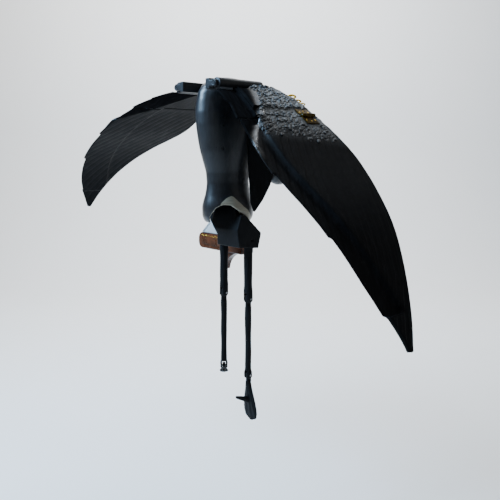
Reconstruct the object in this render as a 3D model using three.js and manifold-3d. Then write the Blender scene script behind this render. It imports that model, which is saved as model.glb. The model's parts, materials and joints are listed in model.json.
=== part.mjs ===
// Jointed wooden bird dummy: a carved upright body with two arched board wings on shoulder pins,
// brass wrist hinges, a flared rump, a neck with a head, and two hanging jointed legs.
// Millimetres, +Z up, +Y is where the bird faces, +X is its right side.
// The origin is on the support arm's flat front face, where the arm is held.
import * as THREE from "three";
import { mergeVertices } from "three/addons/utils/BufferGeometryUtils.js";
import Module from "manifold-3d";

const wasm = await Module();
wasm.setup();

// ---------- driving dimensions ----------
const FIT_GAP = 0.3; // between two pieces that touch
const RUN_GAP = 0.6; // round a turning pin
const MOVE_GAP = 1.2; // between faces that pass each other

// body: heights are measured from the hip pins
const BODY_FLOOR = 145;
const BODY_TOP = 412;
const BODY_WALL = 11;
const BODY_HALF_WIDTH = 56;
const BODY_HALF_DEPTH = 97;
const WAIST_HALF_WIDTH = 38;
const WAIST_HALF_DEPTH = 63;
const RUMP_END = 46;
const RUMP_HALF_WIDTH = 55;
const RUMP_HALF_DEPTH = 71;
const RUMP_WALL = 9;
const POST_SIDE = 28;
const POST_FORWARD = 14;
const BEAM_SIDE = 26;

// wings
const SHOULDER_DROP = 27;
const SHOULDER_OUT = 72;
const SHOULDER_BACK = -30;
const WING_START = 24; // board length already used up between the body's middle band and the pin
const WING_LENGTH = 750;
const WING_DROOP = 4.5;
const WING_BANK = 10; // the right wing hangs lower than the left one
const WRIST_AT = 176;
const BOARD = 12;
const FEATHER_BOARD = 5;
const COVERT = 4;
const RAIL_RADIUS = 14;
const RAIL_HALF_LENGTH = 72;
const SHOULDER_PIN = 8;
const LUG = 9;

// legs
const HIP_OUT = 46;
const HIP_FORWARD = 27;
const THIGH_LENGTH = 148;
const THIGH_RADIUS = 11.5;
const SHANK_LENGTH = 192;
const SHANK_RADIUS = 8.5;
const LEG_PIN = 5;
const HIP_HEIGHT = 0;
const FOOT_LENGTH = 117;
const FOOT_WIDTH = 49;
const FOOT_THICK = 12;
const HIND_TOE = 46;
const STUMP_LENGTH = 42; // the left foot is a stump
const STUMP_WIDTH = 24;
const STUMP_TOE = 9;
const RIGHT_FOOT_DROP = 1.46;
const LEFT_FOOT_DROP = 0.7;
const LEFT_FOOT_TURN = 0.84;

// rump block that carries the legs, and the support arm
const BLOCK_WIDTH = 122;
const BLOCK_BACK = -24;
const BLOCK_FRONT = 58;
const BLOCK_APEX = 66;
const BLOCK_TOP = 18;
const BLOCK_BOTTOM = -22;
const SLOT_LENGTH = 37;
const OPENING_PEAK = 92;
const OPENING_TURN = 42; // how far the rump's back opening looks round to the right, in degrees
const RIM_SHOW = 6; // how far the rump's bare rim stands off the block
const ARM_LENGTH = 178;
const ARM_DEPTH = 44;
const ARM_HEIGHT = 44;
const ARM_RIGHT_END = -12;
const ARM_TOP = -5;
const SCREW = 5;

// ---------- finishes ----------
function finish(color, roughness, metalness) {
  return () => new THREE.MeshStandardMaterial({ color, roughness, metalness });
}
const BLACK_LACQUER = finish(0x121214, 0.25, 0);
const BLACK_BOARD = finish(0x161616, 0.5, 0);
const GREY_FEATHER = finish(0x5c6060, 0.8, 0);
const BARE_WOOD = finish(0xa08a62, 0.7, 0);
const BROWN_VARNISH = finish(0x4a2410, 0.3, 0);
const PALE_PAINT = finish(0xc8c8c6, 0.6, 0);
const BRASS = finish(0xb48a38, 0.35, 1);
const STEEL = finish(0x8c8c90, 0.35, 1);
const GLASS = finish(0x201008, 0.1, 0);

// ---------- solids ----------
function closedGeometry(points, faces) {
  const geometry = new THREE.BufferGeometry();
  geometry.setAttribute("position", new THREE.BufferAttribute(new Float32Array(points.flat()), 3));
  let volume = 0;
  for (const [a, b, c] of faces) {
    const [p, q, r] = [points[a], points[b], points[c]];
    volume += p[0] * (q[1] * r[2] - q[2] * r[1]);
    volume += p[1] * (q[2] * r[0] - q[0] * r[2]);
    volume += p[2] * (q[0] * r[1] - q[1] * r[0]);
  }
  const outward = volume > 0 ? faces : faces.map(([a, b, c]) => [a, c, b]);
  geometry.setIndex(outward.flat());
  return geometry;
}

function toManifold(geometry) {
  const bare = geometry.clone();
  bare.deleteAttribute("normal");
  bare.deleteAttribute("uv");
  const merged = mergeVertices(bare, 1e-4);
  const vertProperties = new Float32Array(merged.attributes.position.array);
  const triVerts = new Uint32Array(merged.index.array);
  return new wasm.Manifold(new wasm.Mesh({ numProp: 3, vertProperties, triVerts }));
}

function fromManifold(solid) {
  const mesh = solid.getMesh();
  const geometry = new THREE.BufferGeometry();
  geometry.setAttribute("position", new THREE.BufferAttribute(new Float32Array(mesh.vertProperties), 3));
  geometry.setIndex(new THREE.BufferAttribute(new Uint32Array(mesh.triVerts), 1));
  return geometry;
}

function cut(geometry, ...tools) {
  let solid = toManifold(geometry);
  for (const tool of tools) solid = solid.subtract(toManifold(tool));
  return fromManifold(solid);
}

function join(geometry, ...others) {
  let solid = toManifold(geometry);
  for (const other of others) solid = solid.add(toManifold(other));
  return fromManifold(solid);
}

function keep(geometry, tool) {
  return fromManifold(toManifold(geometry).intersect(toManifold(tool)));
}

function box(width, depth, height, x = 0, y = 0, z = 0) {
  return new THREE.BoxGeometry(width, depth, height).translate(x, y, z);
}

function rod(radius, length, sides = 24) {
  return new THREE.CylinderGeometry(radius, radius, length, sides);
}

// rings: lists of points, all of one length, from one end of the solid to the other
function loft(rings) {
  const count = rings[0].length;
  const points = rings.flat();
  const faces = [];
  for (let i = 0; i + 1 < rings.length; i++) {
    for (let j = 0; j < count; j++) {
      const k = (j + 1) % count;
      faces.push([i * count + j, i * count + k, (i + 1) * count + k]);
      faces.push([i * count + j, (i + 1) * count + k, (i + 1) * count + j]);
    }
  }
  for (const [ring, flip] of [[0, true], [rings.length - 1, false]]) {
    const middle = points.length;
    const sum = rings[ring].reduce((s, p) => [s[0] + p[0], s[1] + p[1], s[2] + p[2]], [0, 0, 0]);
    points.push(sum.map((v) => v / count));
    for (let j = 0; j < count; j++) {
      const k = (j + 1) % count;
      const [a, b] = [ring * count + j, ring * count + k];
      faces.push(flip ? [middle, b, a] : [middle, a, b]);
    }
  }
  return closedGeometry(points, faces);
}

// a smooth curve through [place, value] stations
function through(stations) {
  const last = stations.length - 1;
  const slope = stations.map((_, i) => {
    const [a, b] = [stations[Math.max(i - 1, 0)], stations[Math.min(i + 1, last)]];
    return (b[1] - a[1]) / (b[0] - a[0]);
  });
  return (x) => {
    let i = 0;
    while (i < last - 1 && x > stations[i + 1][0]) i++;
    const span = stations[i + 1][0] - stations[i][0];
    const t = THREE.MathUtils.clamp((x - stations[i][0]) / span, 0, 1);
    const [p, q] = [stations[i][1], stations[i + 1][1]];
    const [m, n] = [slope[i] * span, slope[i + 1] * span];
    const [t2, t3] = [t * t, t * t * t];
    return p * (2 * t3 - 3 * t2 + 1) + m * (t3 - 2 * t2 + t) + q * (3 * t2 - 2 * t3) + n * (t3 - t2);
  };
}

function ellipseRing(halfWidth, halfDepth, centreY, z, count = 40) {
  return Array.from({ length: count }, (_, i) => {
    const angle = (i / count) * Math.PI * 2;
    return [halfWidth * Math.cos(angle), centreY + halfDepth * Math.sin(angle), z];
  });
}

function named(name, geometry, material) {
  const mesh = new THREE.Mesh(geometry, material());
  mesh.name = name;
  return mesh;
}

const sides = [["right", 1], ["left", -1]];
const dummy = new THREE.Group();

// ---------- body ----------
const bodyHeight = BODY_TOP - BODY_FLOOR;
const SHOULDER_HEIGHT = BODY_TOP - SHOULDER_DROP;
const bodyHalfWidth = through([
  [0, WAIST_HALF_WIDTH],
  [0.12, WAIST_HALF_WIDTH + 2],
  [0.28, WAIST_HALF_WIDTH + 10],
  [0.6, BODY_HALF_WIDTH],
  [0.8, BODY_HALF_WIDTH - 5],
  [0.87, BODY_HALF_WIDTH - 8.5],
  [0.94, BODY_HALF_WIDTH - 16],
  [0.98, BODY_HALF_WIDTH - 30],
  [1, 7],
]);
const bodyHalfDepth = through([
  [0, WAIST_HALF_DEPTH],
  [0.12, WAIST_HALF_DEPTH + 4],
  [0.28, WAIST_HALF_DEPTH + 19],
  [0.6, BODY_HALF_DEPTH],
  [0.8, BODY_HALF_DEPTH - 4],
  [0.87, BODY_HALF_DEPTH - 10],
  [0.94, BODY_HALF_DEPTH - 26],
  [0.98, BODY_HALF_DEPTH - 52],
  [1, 14],
]);
const bodyStations = [0, 0.1, 0.2, 0.3, 0.42, 0.54, 0.66, 0.77, 0.85, 0.91, 0.95, 0.975, 0.99, 1];

function bodyLoft(inset) {
  const low = inset > 0 ? inset / bodyHeight : 0;
  return loft(bodyStations.map((station) => {
    const t = low + station * (1 - 2 * low);
    const halfWidth = Math.max(bodyHalfWidth(t) - inset, 3);
    const halfDepth = Math.max(bodyHalfDepth(t) - inset, 5);
    return ellipseRing(halfWidth, halfDepth, 0, BODY_FLOOR + t * bodyHeight);
  }));
}

// half the hollow's least size behind the shoulder beam at a height
function bodyInside(profile, height) {
  const heights = [height - BEAM_SIDE / 2, height, height + BEAM_SIDE / 2];
  const sizes = heights.map((z) => profile((z - BODY_FLOOR) / bodyHeight));
  return Math.min(...sizes) - BODY_WALL - 1;
}

const postHoleSide = POST_SIDE + 2 * FIT_GAP;
const postHole = box(postHoleSide, postHoleSide, 100, 0, POST_FORWARD, BODY_FLOOR);
// the neck's middle line leaves the breast, falls steeply and levels out towards the head
const NECK_LENGTH = 178;
const NECK_STEPS = 60;
const HEAD_FALL = 0.3; // radians below level
const neckFall = through([[0, 0.72], [0.45, 1.42], [0.75, 1.1], [1, HEAD_FALL]]);
const neckLine = [{ y: BODY_HALF_DEPTH - 22, z: SHOULDER_HEIGHT - 72, fall: neckFall(0) }];
for (let i = 1; i <= NECK_STEPS; i++) {
  const last = neckLine[i - 1];
  const fall = neckFall(i / NECK_STEPS);
  const step = NECK_LENGTH / NECK_STEPS;
  neckLine.push({ y: last.y + step * Math.cos(fall), z: last.z - step * Math.sin(fall), fall });
}

const NECK_DOWEL = 16;
const DOWEL_LENGTH = 84;

// the dowel joins neck and breast: turned to the neck's first direction, in past its start by "inwards"
function neckDowel(radius, length, inwards) {
  const { y, z, fall } = neckLine[0];
  const middle = length / 2 - inwards;
  const dowel = rod(radius, length).rotateX(-fall);
  return dowel.translate(0, y + middle * Math.cos(fall), z - middle * Math.sin(fall));
}

const neckDowelHole = neckDowel(
  NECK_DOWEL / 2 + FIT_GAP,
  DOWEL_LENGTH + 2 * FIT_GAP,
  DOWEL_LENGTH / 2 + FIT_GAP,
);
const bodySkin = cut(bodyLoft(0), bodyLoft(BODY_WALL), postHole, neckDowelHole);
const backHalf = box(400, 300, 800, 0, -150 - FIT_GAP / 2, 200);
const frontHalf = box(400, 300, 800, 0, 150 + FIT_GAP / 2, 200);
dummy.add(named("back_shell", keep(bodySkin, backHalf), BLACK_LACQUER));
dummy.add(named("belly_shell", keep(bodySkin, frontHalf), BLACK_LACQUER));

const postTop = SHOULDER_HEIGHT - BEAM_SIDE / 2 - 44;
const postBottom = BLOCK_TOP + 12;
dummy.add(named(
  "spine_post",
  box(POST_SIDE, POST_SIDE, postTop - postBottom, 0, POST_FORWARD, (postTop + postBottom) / 2),
  BARE_WOOD,
));
const beamHeight = postTop + FIT_GAP + BEAM_SIDE / 2;
const beamCorner = (POST_FORWARD + BEAM_SIDE / 2) / bodyInside(bodyHalfDepth, beamHeight);
const beamHalf = bodyInside(bodyHalfWidth, beamHeight) * Math.sqrt(1 - beamCorner ** 2) - 2 * FIT_GAP;
const beamBlank = box(2 * beamHalf, BEAM_SIDE, BEAM_SIDE, 0, POST_FORWARD, beamHeight);
dummy.add(named("shoulder_beam", beamBlank, BARE_WOOD));

// ---------- neck and head ----------
const neckRadius = through([[0, 34], [0.25, 25], [0.6, 18], [1, 15]]);

function neckRing(t, count = 28) {
  const { y, z, fall } = neckLine[Math.round(t * NECK_STEPS)];
  const radius = neckRadius(t);
  return Array.from({ length: count }, (_, i) => {
    const angle = (i / count) * Math.PI * 2;
    const rise = radius * 1.15 * Math.sin(angle);
    return [radius * Math.cos(angle), y + rise * Math.sin(fall), z + rise * Math.cos(fall)];
  });
}

const neckBlank = loft([0, 0.1, 0.2, 0.3, 0.4, 0.5, 0.6, 0.7, 0.8, 0.9, 1].map((t) => neckRing(t)));
dummy.add(named("neck", cut(neckBlank, bodyLoft(-FIT_GAP), neckDowelHole), BLACK_LACQUER));
dummy.add(named("neck_dowel", neckDowel(NECK_DOWEL / 2, DOWEL_LENGTH, DOWEL_LENGTH / 2), BARE_WOOD));

const HEAD_BACK = 27;
const neckEnd = neckLine[NECK_STEPS];
const headPlace = {
  y: neckEnd.y + (HEAD_BACK + FIT_GAP) * Math.cos(HEAD_FALL),
  z: neckEnd.z - (HEAD_BACK + FIT_GAP) * Math.sin(HEAD_FALL),
};

function headPiece(geometry) {
  return geometry.rotateX(-HEAD_FALL).translate(0, headPlace.y, headPlace.z);
}

const headRings = [[-HEAD_BACK, 13], [-22, 19], [-10, 24], [4, 25], [18, 21], [30, 15], [36, 11]];
const headBlank = loft(headRings.map(([y, radius]) => Array.from({ length: 28 }, (_, i) => {
  const angle = (i / 28) * Math.PI * 2;
  return [radius * 0.86 * Math.cos(angle), y, radius * Math.sin(angle) + 2];
})));
const EYE_RADIUS = 5;
const eyePlace = { out: 19, forward: 10, up: 8 };
const eyeSockets = sides.map(([, side]) => new THREE.SphereGeometry(EYE_RADIUS + FIT_GAP, 20, 12)
  .translate(side * eyePlace.out, eyePlace.forward, eyePlace.up));
dummy.add(named("head", headPiece(cut(headBlank, ...eyeSockets)), BLACK_LACQUER));
for (const [label, side] of sides) {
  const eye = new THREE.SphereGeometry(EYE_RADIUS, 20, 12);
  eye.translate(side * eyePlace.out, eyePlace.forward, eyePlace.up);
  dummy.add(named(`eye_${label}`, headPiece(eye), GLASS));
}

const BEAK_LENGTH = 118;
const beakRadius = through([[0, 10], [0.3, 6.8], [0.7, 3.6], [1, 1.4]]);
const beak = loft([0, 0.15, 0.3, 0.5, 0.7, 0.88, 1].map((t) => Array.from({ length: 20 }, (_, i) => {
  const angle = (i / 20) * Math.PI * 2;
  const [radius, y] = [beakRadius(t), headRings[headRings.length - 1][0] + FIT_GAP + t * BEAK_LENGTH];
  return [radius * 0.8 * Math.cos(angle), y, radius * Math.sin(angle) + 2 - 6 * t * t];
})));
dummy.add(named("beak", headPiece(beak), BROWN_VARNISH));

// ---------- rump ----------
const rumpTop = BODY_FLOOR - FIT_GAP;
const rumpHeight = rumpTop - RUMP_END;
const rumpHalfWidth = through([
  [0, RUMP_HALF_WIDTH],
  [0.4, RUMP_HALF_WIDTH - 3],
  [0.75, WAIST_HALF_WIDTH + 3],
  [1, WAIST_HALF_WIDTH],
]);
const rumpHalfDepth = through([
  [0, RUMP_HALF_DEPTH],
  [0.4, RUMP_HALF_DEPTH - 1],
  [0.75, WAIST_HALF_DEPTH + 3],
  [1, WAIST_HALF_DEPTH],
]);

function rumpLoft(inset, low, high) {
  return loft([0, 0.12, 0.25, 0.4, 0.55, 0.7, 0.85, 1].map((station) => {
    const t = low + station * (high - low);
    return ellipseRing(rumpHalfWidth(t) - inset, rumpHalfDepth(t) - inset, 0, RUMP_END + t * rumpHeight);
  }));
}

// an arched opening through both sides leaves a tail stub at the back
function sideProfile(points) {
  const outline = new THREE.Shape(points.map(([y, z]) => new THREE.Vector2(y, z)));
  return (width) => {
    const solid = new THREE.ExtrudeGeometry(outline, { depth: width, bevelEnabled: false });
    solid.rotateX(Math.PI / 2);
    solid.rotateZ(Math.PI / 2);
    return solid.translate(-width / 2, 0, 0);
  };
}
const archPeak = BLOCK_APEX + RIM_SHOW;
const openingTool = sideProfile([
  [BLOCK_BACK - 20, BLOCK_BOTTOM - 40],
  [BLOCK_BACK - 16, BLOCK_TOP + 18],
  [BLOCK_BACK + 6, archPeak - 6],
  [BLOCK_BACK + 20, archPeak],
  [BLOCK_BACK + 34, archPeak - 6],
  [BLOCK_FRONT - 4, BLOCK_TOP + RIM_SHOW + 2],
  [140, BLOCK_TOP - 26],
  [140, BLOCK_BOTTOM - 40],
])(4 * RUMP_HALF_WIDTH);

// a second opening looks out between the back and the right side, over the face of the block
function turnedProfile(points, from, to) {
  const solid = sideProfile(points)(to - from).translate((from + to) / 2, 0, 0);
  return solid.rotateZ(-THREE.MathUtils.degToRad(OPENING_TURN));
}
const backOpening = turnedProfile([
  [-48, BLOCK_BOTTOM - 40],
  [-48, RUMP_END],
  [-43, RUMP_END + 18],
  [-28, OPENING_PEAK - 7],
  [-13, OPENING_PEAK],
  [5, OPENING_PEAK],
  [24, OPENING_PEAK - 15],
  [54, RUMP_END],
  [64, RUMP_END - 12],
  [64, BLOCK_BOTTOM - 40],
], 0, 2 * RUMP_HALF_DEPTH);
const rumpBell = cut(
  rumpLoft(0, 0, 1),
  rumpLoft(RUMP_WALL, -0.2, 1 - RUMP_WALL / rumpHeight),
  postHole,
  openingTool,
  backOpening,
);
dummy.add(named("rump", rumpBell, BLACK_LACQUER));

// flank boards: long pointed feathers that hang beside the body from under the wing roots
const FLANK_THICK = 7;
const flankOutline = [
  [22, BODY_FLOOR + 160],
  [80, BODY_FLOOR + 164],
  [108, BODY_FLOOR + 78],
  [106, BODY_FLOOR + 26],
  [91, BODY_FLOOR - 8],
  [64, BODY_FLOOR - 45],
  [35, BODY_FLOOR - 74],
  [24, BODY_FLOOR - 50],
  [14, BODY_FLOOR + 60],
];
const flankSeat = Math.max(...bodyStations.map(bodyHalfWidth)) + FIT_GAP;
for (const [label, side] of sides) {
  const flank = sideProfile(flankOutline)(FLANK_THICK);
  flank.translate(side * (flankSeat + FLANK_THICK / 2), 0, 0);
  dummy.add(named(`flank_${label}`, flank, BLACK_BOARD));
}

// ---------- block that carries the legs ----------
const blockBlank = sideProfile([
  [BLOCK_BACK + 8, BLOCK_BOTTOM + 8],
  [BLOCK_BACK, BLOCK_TOP + 12],
  [BLOCK_BACK + 14, BLOCK_APEX],
  [BLOCK_BACK + 28, BLOCK_APEX],
  [BLOCK_FRONT, BLOCK_TOP],
  [BLOCK_FRONT, BLOCK_BOTTOM],
])(BLOCK_WIDTH);
const slotTop = HIP_HEIGHT + THIGH_RADIUS + 2 * MOVE_GAP;
const slots = sides.map(([, side]) => box(
  2 * THIGH_RADIUS + 2 * MOVE_GAP,
  SLOT_LENGTH,
  100,
  side * HIP_OUT,
  HIP_FORWARD,
  slotTop - 50,
));
const hipPinHole = rod((LEG_PIN + RUN_GAP) / 2, 2 * BLOCK_WIDTH).rotateZ(Math.PI / 2);
hipPinHole.translate(0, HIP_FORWARD, HIP_HEIGHT);
const postSocket = box(postHoleSide, postHoleSide, 200, 0, POST_FORWARD, postBottom - FIT_GAP + 100);

// ---------- support arm ----------
const armBack = BLOCK_FRONT + FIT_GAP;
const armMiddle = armBack + ARM_DEPTH / 2;
const armLeftEnd = ARM_RIGHT_END - ARM_LENGTH;
const armBottom = ARM_TOP - ARM_HEIGHT;
const endRound = ARM_HEIGHT * 0.38;
const armOutline = new THREE.Shape();
armOutline.moveTo(ARM_RIGHT_END, armBottom);
armOutline.lineTo(ARM_RIGHT_END, ARM_TOP);
armOutline.lineTo(armLeftEnd + endRound, ARM_TOP);
armOutline.absarc(armLeftEnd + endRound, ARM_TOP - endRound, endRound, Math.PI / 2, Math.PI, false);
armOutline.absarc(armLeftEnd + endRound, armBottom + endRound, endRound, Math.PI, Math.PI * 1.5, false);
armOutline.closePath();
const armBlank = new THREE.ExtrudeGeometry(armOutline, {
  depth: ARM_DEPTH,
  bevelEnabled: false,
  curveSegments: 10,
});
armBlank.rotateX(Math.PI / 2);
armBlank.translate(0, armBack + ARM_DEPTH, 0);
const screwPlaces = [ARM_RIGHT_END - 12, ARM_RIGHT_END - 38];
const screwHeight = (ARM_TOP + BLOCK_BOTTOM) / 2;
const screwLength = ARM_DEPTH + 7;
const screwHead = 3;

function screwShape(clearance) {
  const shank = rod(SCREW / 2 + clearance, screwLength + 2 * clearance, 16);
  const head = rod(SCREW + clearance, screwHead + clearance, 20);
  return join(shank, head.translate(0, (screwLength - screwHead) / 2, 0));
}

function atScrew(geometry, x) {
  return geometry.translate(x, armBack + ARM_DEPTH - screwLength / 2, screwHeight);
}
const screwHoles = screwPlaces.map((x) => atScrew(screwShape(FIT_GAP), x));
dummy.add(named("support_arm", cut(armBlank, ...screwHoles), BROWN_VARNISH));
const BLOCK_SLANT = 10; // how far the front leans back below, beside the arm
const slantWidth = BLOCK_WIDTH / 2 - ARM_RIGHT_END;
const slant = sideProfile([
  [BLOCK_FRONT + 1, BLOCK_TOP - 3],
  [BLOCK_FRONT + 1, BLOCK_BOTTOM - 1],
  [BLOCK_FRONT - BLOCK_SLANT, BLOCK_BOTTOM - 1],
])(slantWidth).translate(ARM_RIGHT_END + slantWidth / 2 + 1, 0, 0);

// its back left corner is cut away behind the leg, so that the arm and its plate stand free
const armSideCut = turnedProfile([
  [-27, BLOCK_BOTTOM - 1],
  [-27, BLOCK_TOP - 5],
  [-46, RUMP_END],
  [-50, BLOCK_APEX + 1],
  [-2 * BLOCK_WIDTH, BLOCK_APEX + 1],
  [-2 * BLOCK_WIDTH, BLOCK_BOTTOM - 1],
], -BLOCK_WIDTH, BLOCK_WIDTH);
const hipBlock = cut(blockBlank, slant, armSideCut, ...slots, hipPinHole, postSocket, ...screwHoles);
dummy.add(named("hip_block", hipBlock, BLACK_BOARD));
screwPlaces.forEach((x, i) => dummy.add(named(`arm_screw_${i + 1}`, atScrew(screwShape(0), x), STEEL)));

// curved corbel under the arm, right of the middle
const CORBEL_DROP = 50;
const corbelTop = armBottom - FIT_GAP;
const corbelOutline = new THREE.Shape();
corbelOutline.moveTo(ARM_RIGHT_END - 28, corbelTop);
corbelOutline.lineTo(ARM_RIGHT_END - 98, corbelTop);
corbelOutline.quadraticCurveTo(
  ARM_RIGHT_END - 94,
  corbelTop - 14,
  ARM_RIGHT_END - 93,
  corbelTop - CORBEL_DROP,
);
corbelOutline.lineTo(ARM_RIGHT_END - 80, corbelTop - CORBEL_DROP);
corbelOutline.quadraticCurveTo(ARM_RIGHT_END - 74, corbelTop - 12, ARM_RIGHT_END - 28, corbelTop);
const corbelDepth = ARM_DEPTH * 0.5;
const corbel = new THREE.ExtrudeGeometry(corbelOutline, {
  depth: corbelDepth,
  bevelEnabled: false,
  curveSegments: 8,
});
corbel.rotateX(Math.PI / 2);
corbel.translate(0, armMiddle + corbelDepth / 2, 0);
dummy.add(named("arm_corbel", corbel, BROWN_VARNISH));

const GUSSET_THICK = 5;
const gussetOutline = new THREE.Shape();
gussetOutline.moveTo(armLeftEnd + endRound - 8, ARM_TOP + FIT_GAP);
gussetOutline.lineTo(armLeftEnd + endRound + 31, ARM_TOP + 37);
gussetOutline.lineTo(armLeftEnd + endRound + 70, ARM_TOP + FIT_GAP);
gussetOutline.closePath();
const gusset = new THREE.ExtrudeGeometry(gussetOutline, { depth: GUSSET_THICK, bevelEnabled: false });
gusset.rotateX(Math.PI / 2);
gusset.translate(0, armBack + GUSSET_THICK + 4, 0);
dummy.add(named("gusset_plate", gusset, PALE_PAINT));

// ---------- wings ----------
// A wing's middle line runs out from the shoulder pin and arches down; "along" is the length along it,
// "across" runs from the trailing edge (negative) to the leading edge, "up" is away from the underside.
const wingSlope = through([[0, 7], [0.18, 23], [0.36, 31], [0.55, 29], [0.77, 46], [1, 66]]);
const leadingEdge = through([
  [0, 85], [0.12, 122], [0.25, 149], [0.42, 167], [0.62, 121], [0.82, 60], [1, 16],
]);
const trailingEdge = through([
  [0, -80], [0.12, -98], [0.25, -121], [0.42, -134], [0.62, -110], [0.82, -67], [1, 6],
]);
const ARCH_STEPS = 300;
const arch = [{ out: 0, down: 0, slope: 0 }];
for (let i = 1; i <= ARCH_STEPS; i++) {
  const step = WING_LENGTH / ARCH_STEPS;
  const slope = THREE.MathUtils.degToRad(wingSlope((i - 0.5) / ARCH_STEPS) + WING_DROOP);
  const last = arch[i - 1];
  arch.push({ out: last.out + step * Math.cos(slope), down: last.down + step * Math.sin(slope), slope });
}

function archAt(along) {
  const place = THREE.MathUtils.clamp((along / WING_LENGTH) * ARCH_STEPS, 0, ARCH_STEPS - 1e-6);
  const i = Math.floor(place);
  const [a, b, mix] = [arch[i], arch[i + 1], place - i];
  return {
    out: a.out + (b.out - a.out) * mix,
    down: a.down + (b.down - a.down) * mix,
    slope: a.slope + (b.slope - a.slope) * mix,
  };
}
const archStart = archAt(WING_START);

function wingPoint(side, along, across, up) {
  const { out, down, slope } = archAt(along);
  const outward = out - archStart.out + up * Math.sin(slope);
  const upward = archStart.down - down + up * Math.cos(slope);
  return [side * outward, across, upward];
}

// a board that follows the arch: from and to are lengths along it, back and front give its edges there
function board(side, from, to, back, front, under, over, steps = 14) {
  const rows = Array.from({ length: steps + 1 }, (_, i) => from + ((to - from) * i) / steps);
  return loft(rows.map((along) => {
    const [rear, fore] = [back(along), front(along)];
    const thick = over - under;
    const round = Math.min(thick * 0.35, (fore - rear) * 0.2);
    return [
      wingPoint(side, along, rear, under + round),
      wingPoint(side, along, rear + round, under),
      wingPoint(side, along, rear + (fore - rear) * 0.33, under),
      wingPoint(side, along, rear + (fore - rear) * 0.67, under),
      wingPoint(side, along, fore - round, under),
      wingPoint(side, along, fore, under + round),
      wingPoint(side, along, fore, over - round),
      wingPoint(side, along, fore - round, over),
      wingPoint(side, along, rear + (fore - rear) * 0.67, over),
      wingPoint(side, along, rear + (fore - rear) * 0.33, over),
      wingPoint(side, along, rear + round, over),
      wingPoint(side, along, rear, over - round),
    ];
  }));
}

const front = (along) => leadingEdge(along / WING_LENGTH);
const back = (along) => trailingEdge(along / WING_LENGTH);
const railStart = WING_START + RAIL_RADIUS + 2 * FIT_GAP;
const hingeGap = MOVE_GAP / 2;
const tipStart = WING_LENGTH * 0.9;
const OVERLAP = 46; // how far a feather board reaches in under its main board
const SHOW = 52; // how far it shows behind it
const under = -BOARD / 2 - FIT_GAP;
const over = BOARD / 2 + FIT_GAP;

function featherEdge(from, to, deep) {
  return (along) => back(along) + deep * (1 - (along - from) / (to - from));
}

function feathers(side, from, to, count) {
  const pitch = (to - from) / count;
  return Array.from({ length: count }, (_, i) => {
    const [start, end] = [from + i * pitch, from + (i + 1) * pitch - MOVE_GAP / 2];
    const rear = featherEdge(start, end, 7);
    const fore = (along) => Math.min(back(along) + SHOW + OVERLAP, front(along) - 10);
    return board(side, start, end, rear, fore, under - FEATHER_BOARD, under, 6);
  });
}

// butt hinge on the upper face at the wrist, near the leading edge
const HINGE_WIDTH = 44;
const HINGE_LEAF = 26;
const HINGE_KNUCKLE = 4.6;
const HINGE_PIN = 3;
const hingeAcross = front(WRIST_AT) - 46;
const hingeUp = over + HINGE_KNUCKLE + 1.2;

function hingeAxisPoint(side) {
  return new THREE.Vector3(...wingPoint(side, WRIST_AT, hingeAcross, hingeUp));
}

function hingeRod(side, radius, from, to) {
  const axis = hingeAxisPoint(side);
  return rod(radius, to - from, 20).translate(axis.x, axis.y + (from + to) / 2, axis.z);
}

function hingeLeaf(side, direction) {
  const near = WRIST_AT + direction * 0.9;
  const far = WRIST_AT + direction * HINGE_LEAF;
  const [from, to] = direction > 0 ? [near, far] : [far, near];
  const rear = () => hingeAcross - HINGE_WIDTH / 2;
  const fore = () => hingeAcross + HINGE_WIDTH / 2;
  const leaf = board(side, from, to, rear, fore, over, over + 2.2, 4);
  const third = HINGE_WIDTH / 3;
  const spans = direction > 0
    ? [[-third / 2 + FIT_GAP, third / 2 - FIT_GAP]]
    : [[-HINGE_WIDTH / 2, -third / 2], [third / 2, HINGE_WIDTH / 2]];
  const knuckles = spans.flatMap(([a, b]) => {
    const foot = board(side, ...(direction > 0 ? [near, near + 6] : [near - 6, near]),
      () => hingeAcross + a, () => hingeAcross + b, over + 1, hingeUp, 2);
    return [hingeRod(side, HINGE_KNUCKLE, a, b), foot];
  });
  const others = direction > 0
    ? [[-HINGE_WIDTH / 2 - 1, -third / 2 + FIT_GAP], [third / 2 - FIT_GAP, HINGE_WIDTH / 2 + 1]]
    : [[-third / 2, third / 2]];
  const room = others.map(([a, b]) => hingeRod(side, HINGE_KNUCKLE + FIT_GAP, a, b));
  const pinHole = hingeRod(side, HINGE_PIN / 2 + FIT_GAP, -HINGE_WIDTH, HINGE_WIDTH);
  return cut(join(cut(leaf, ...room), ...knuckles), pinHole);
}

const PLATE_HEIGHT = 26;
const PLATE_SEAT = 6; // how far the bracket's plate is hollowed to sit on the body
const bodyAtShoulder = bodyHalfWidth((SHOULDER_HEIGHT - PLATE_HEIGHT / 2 - BODY_FLOOR) / bodyHeight);

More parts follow.
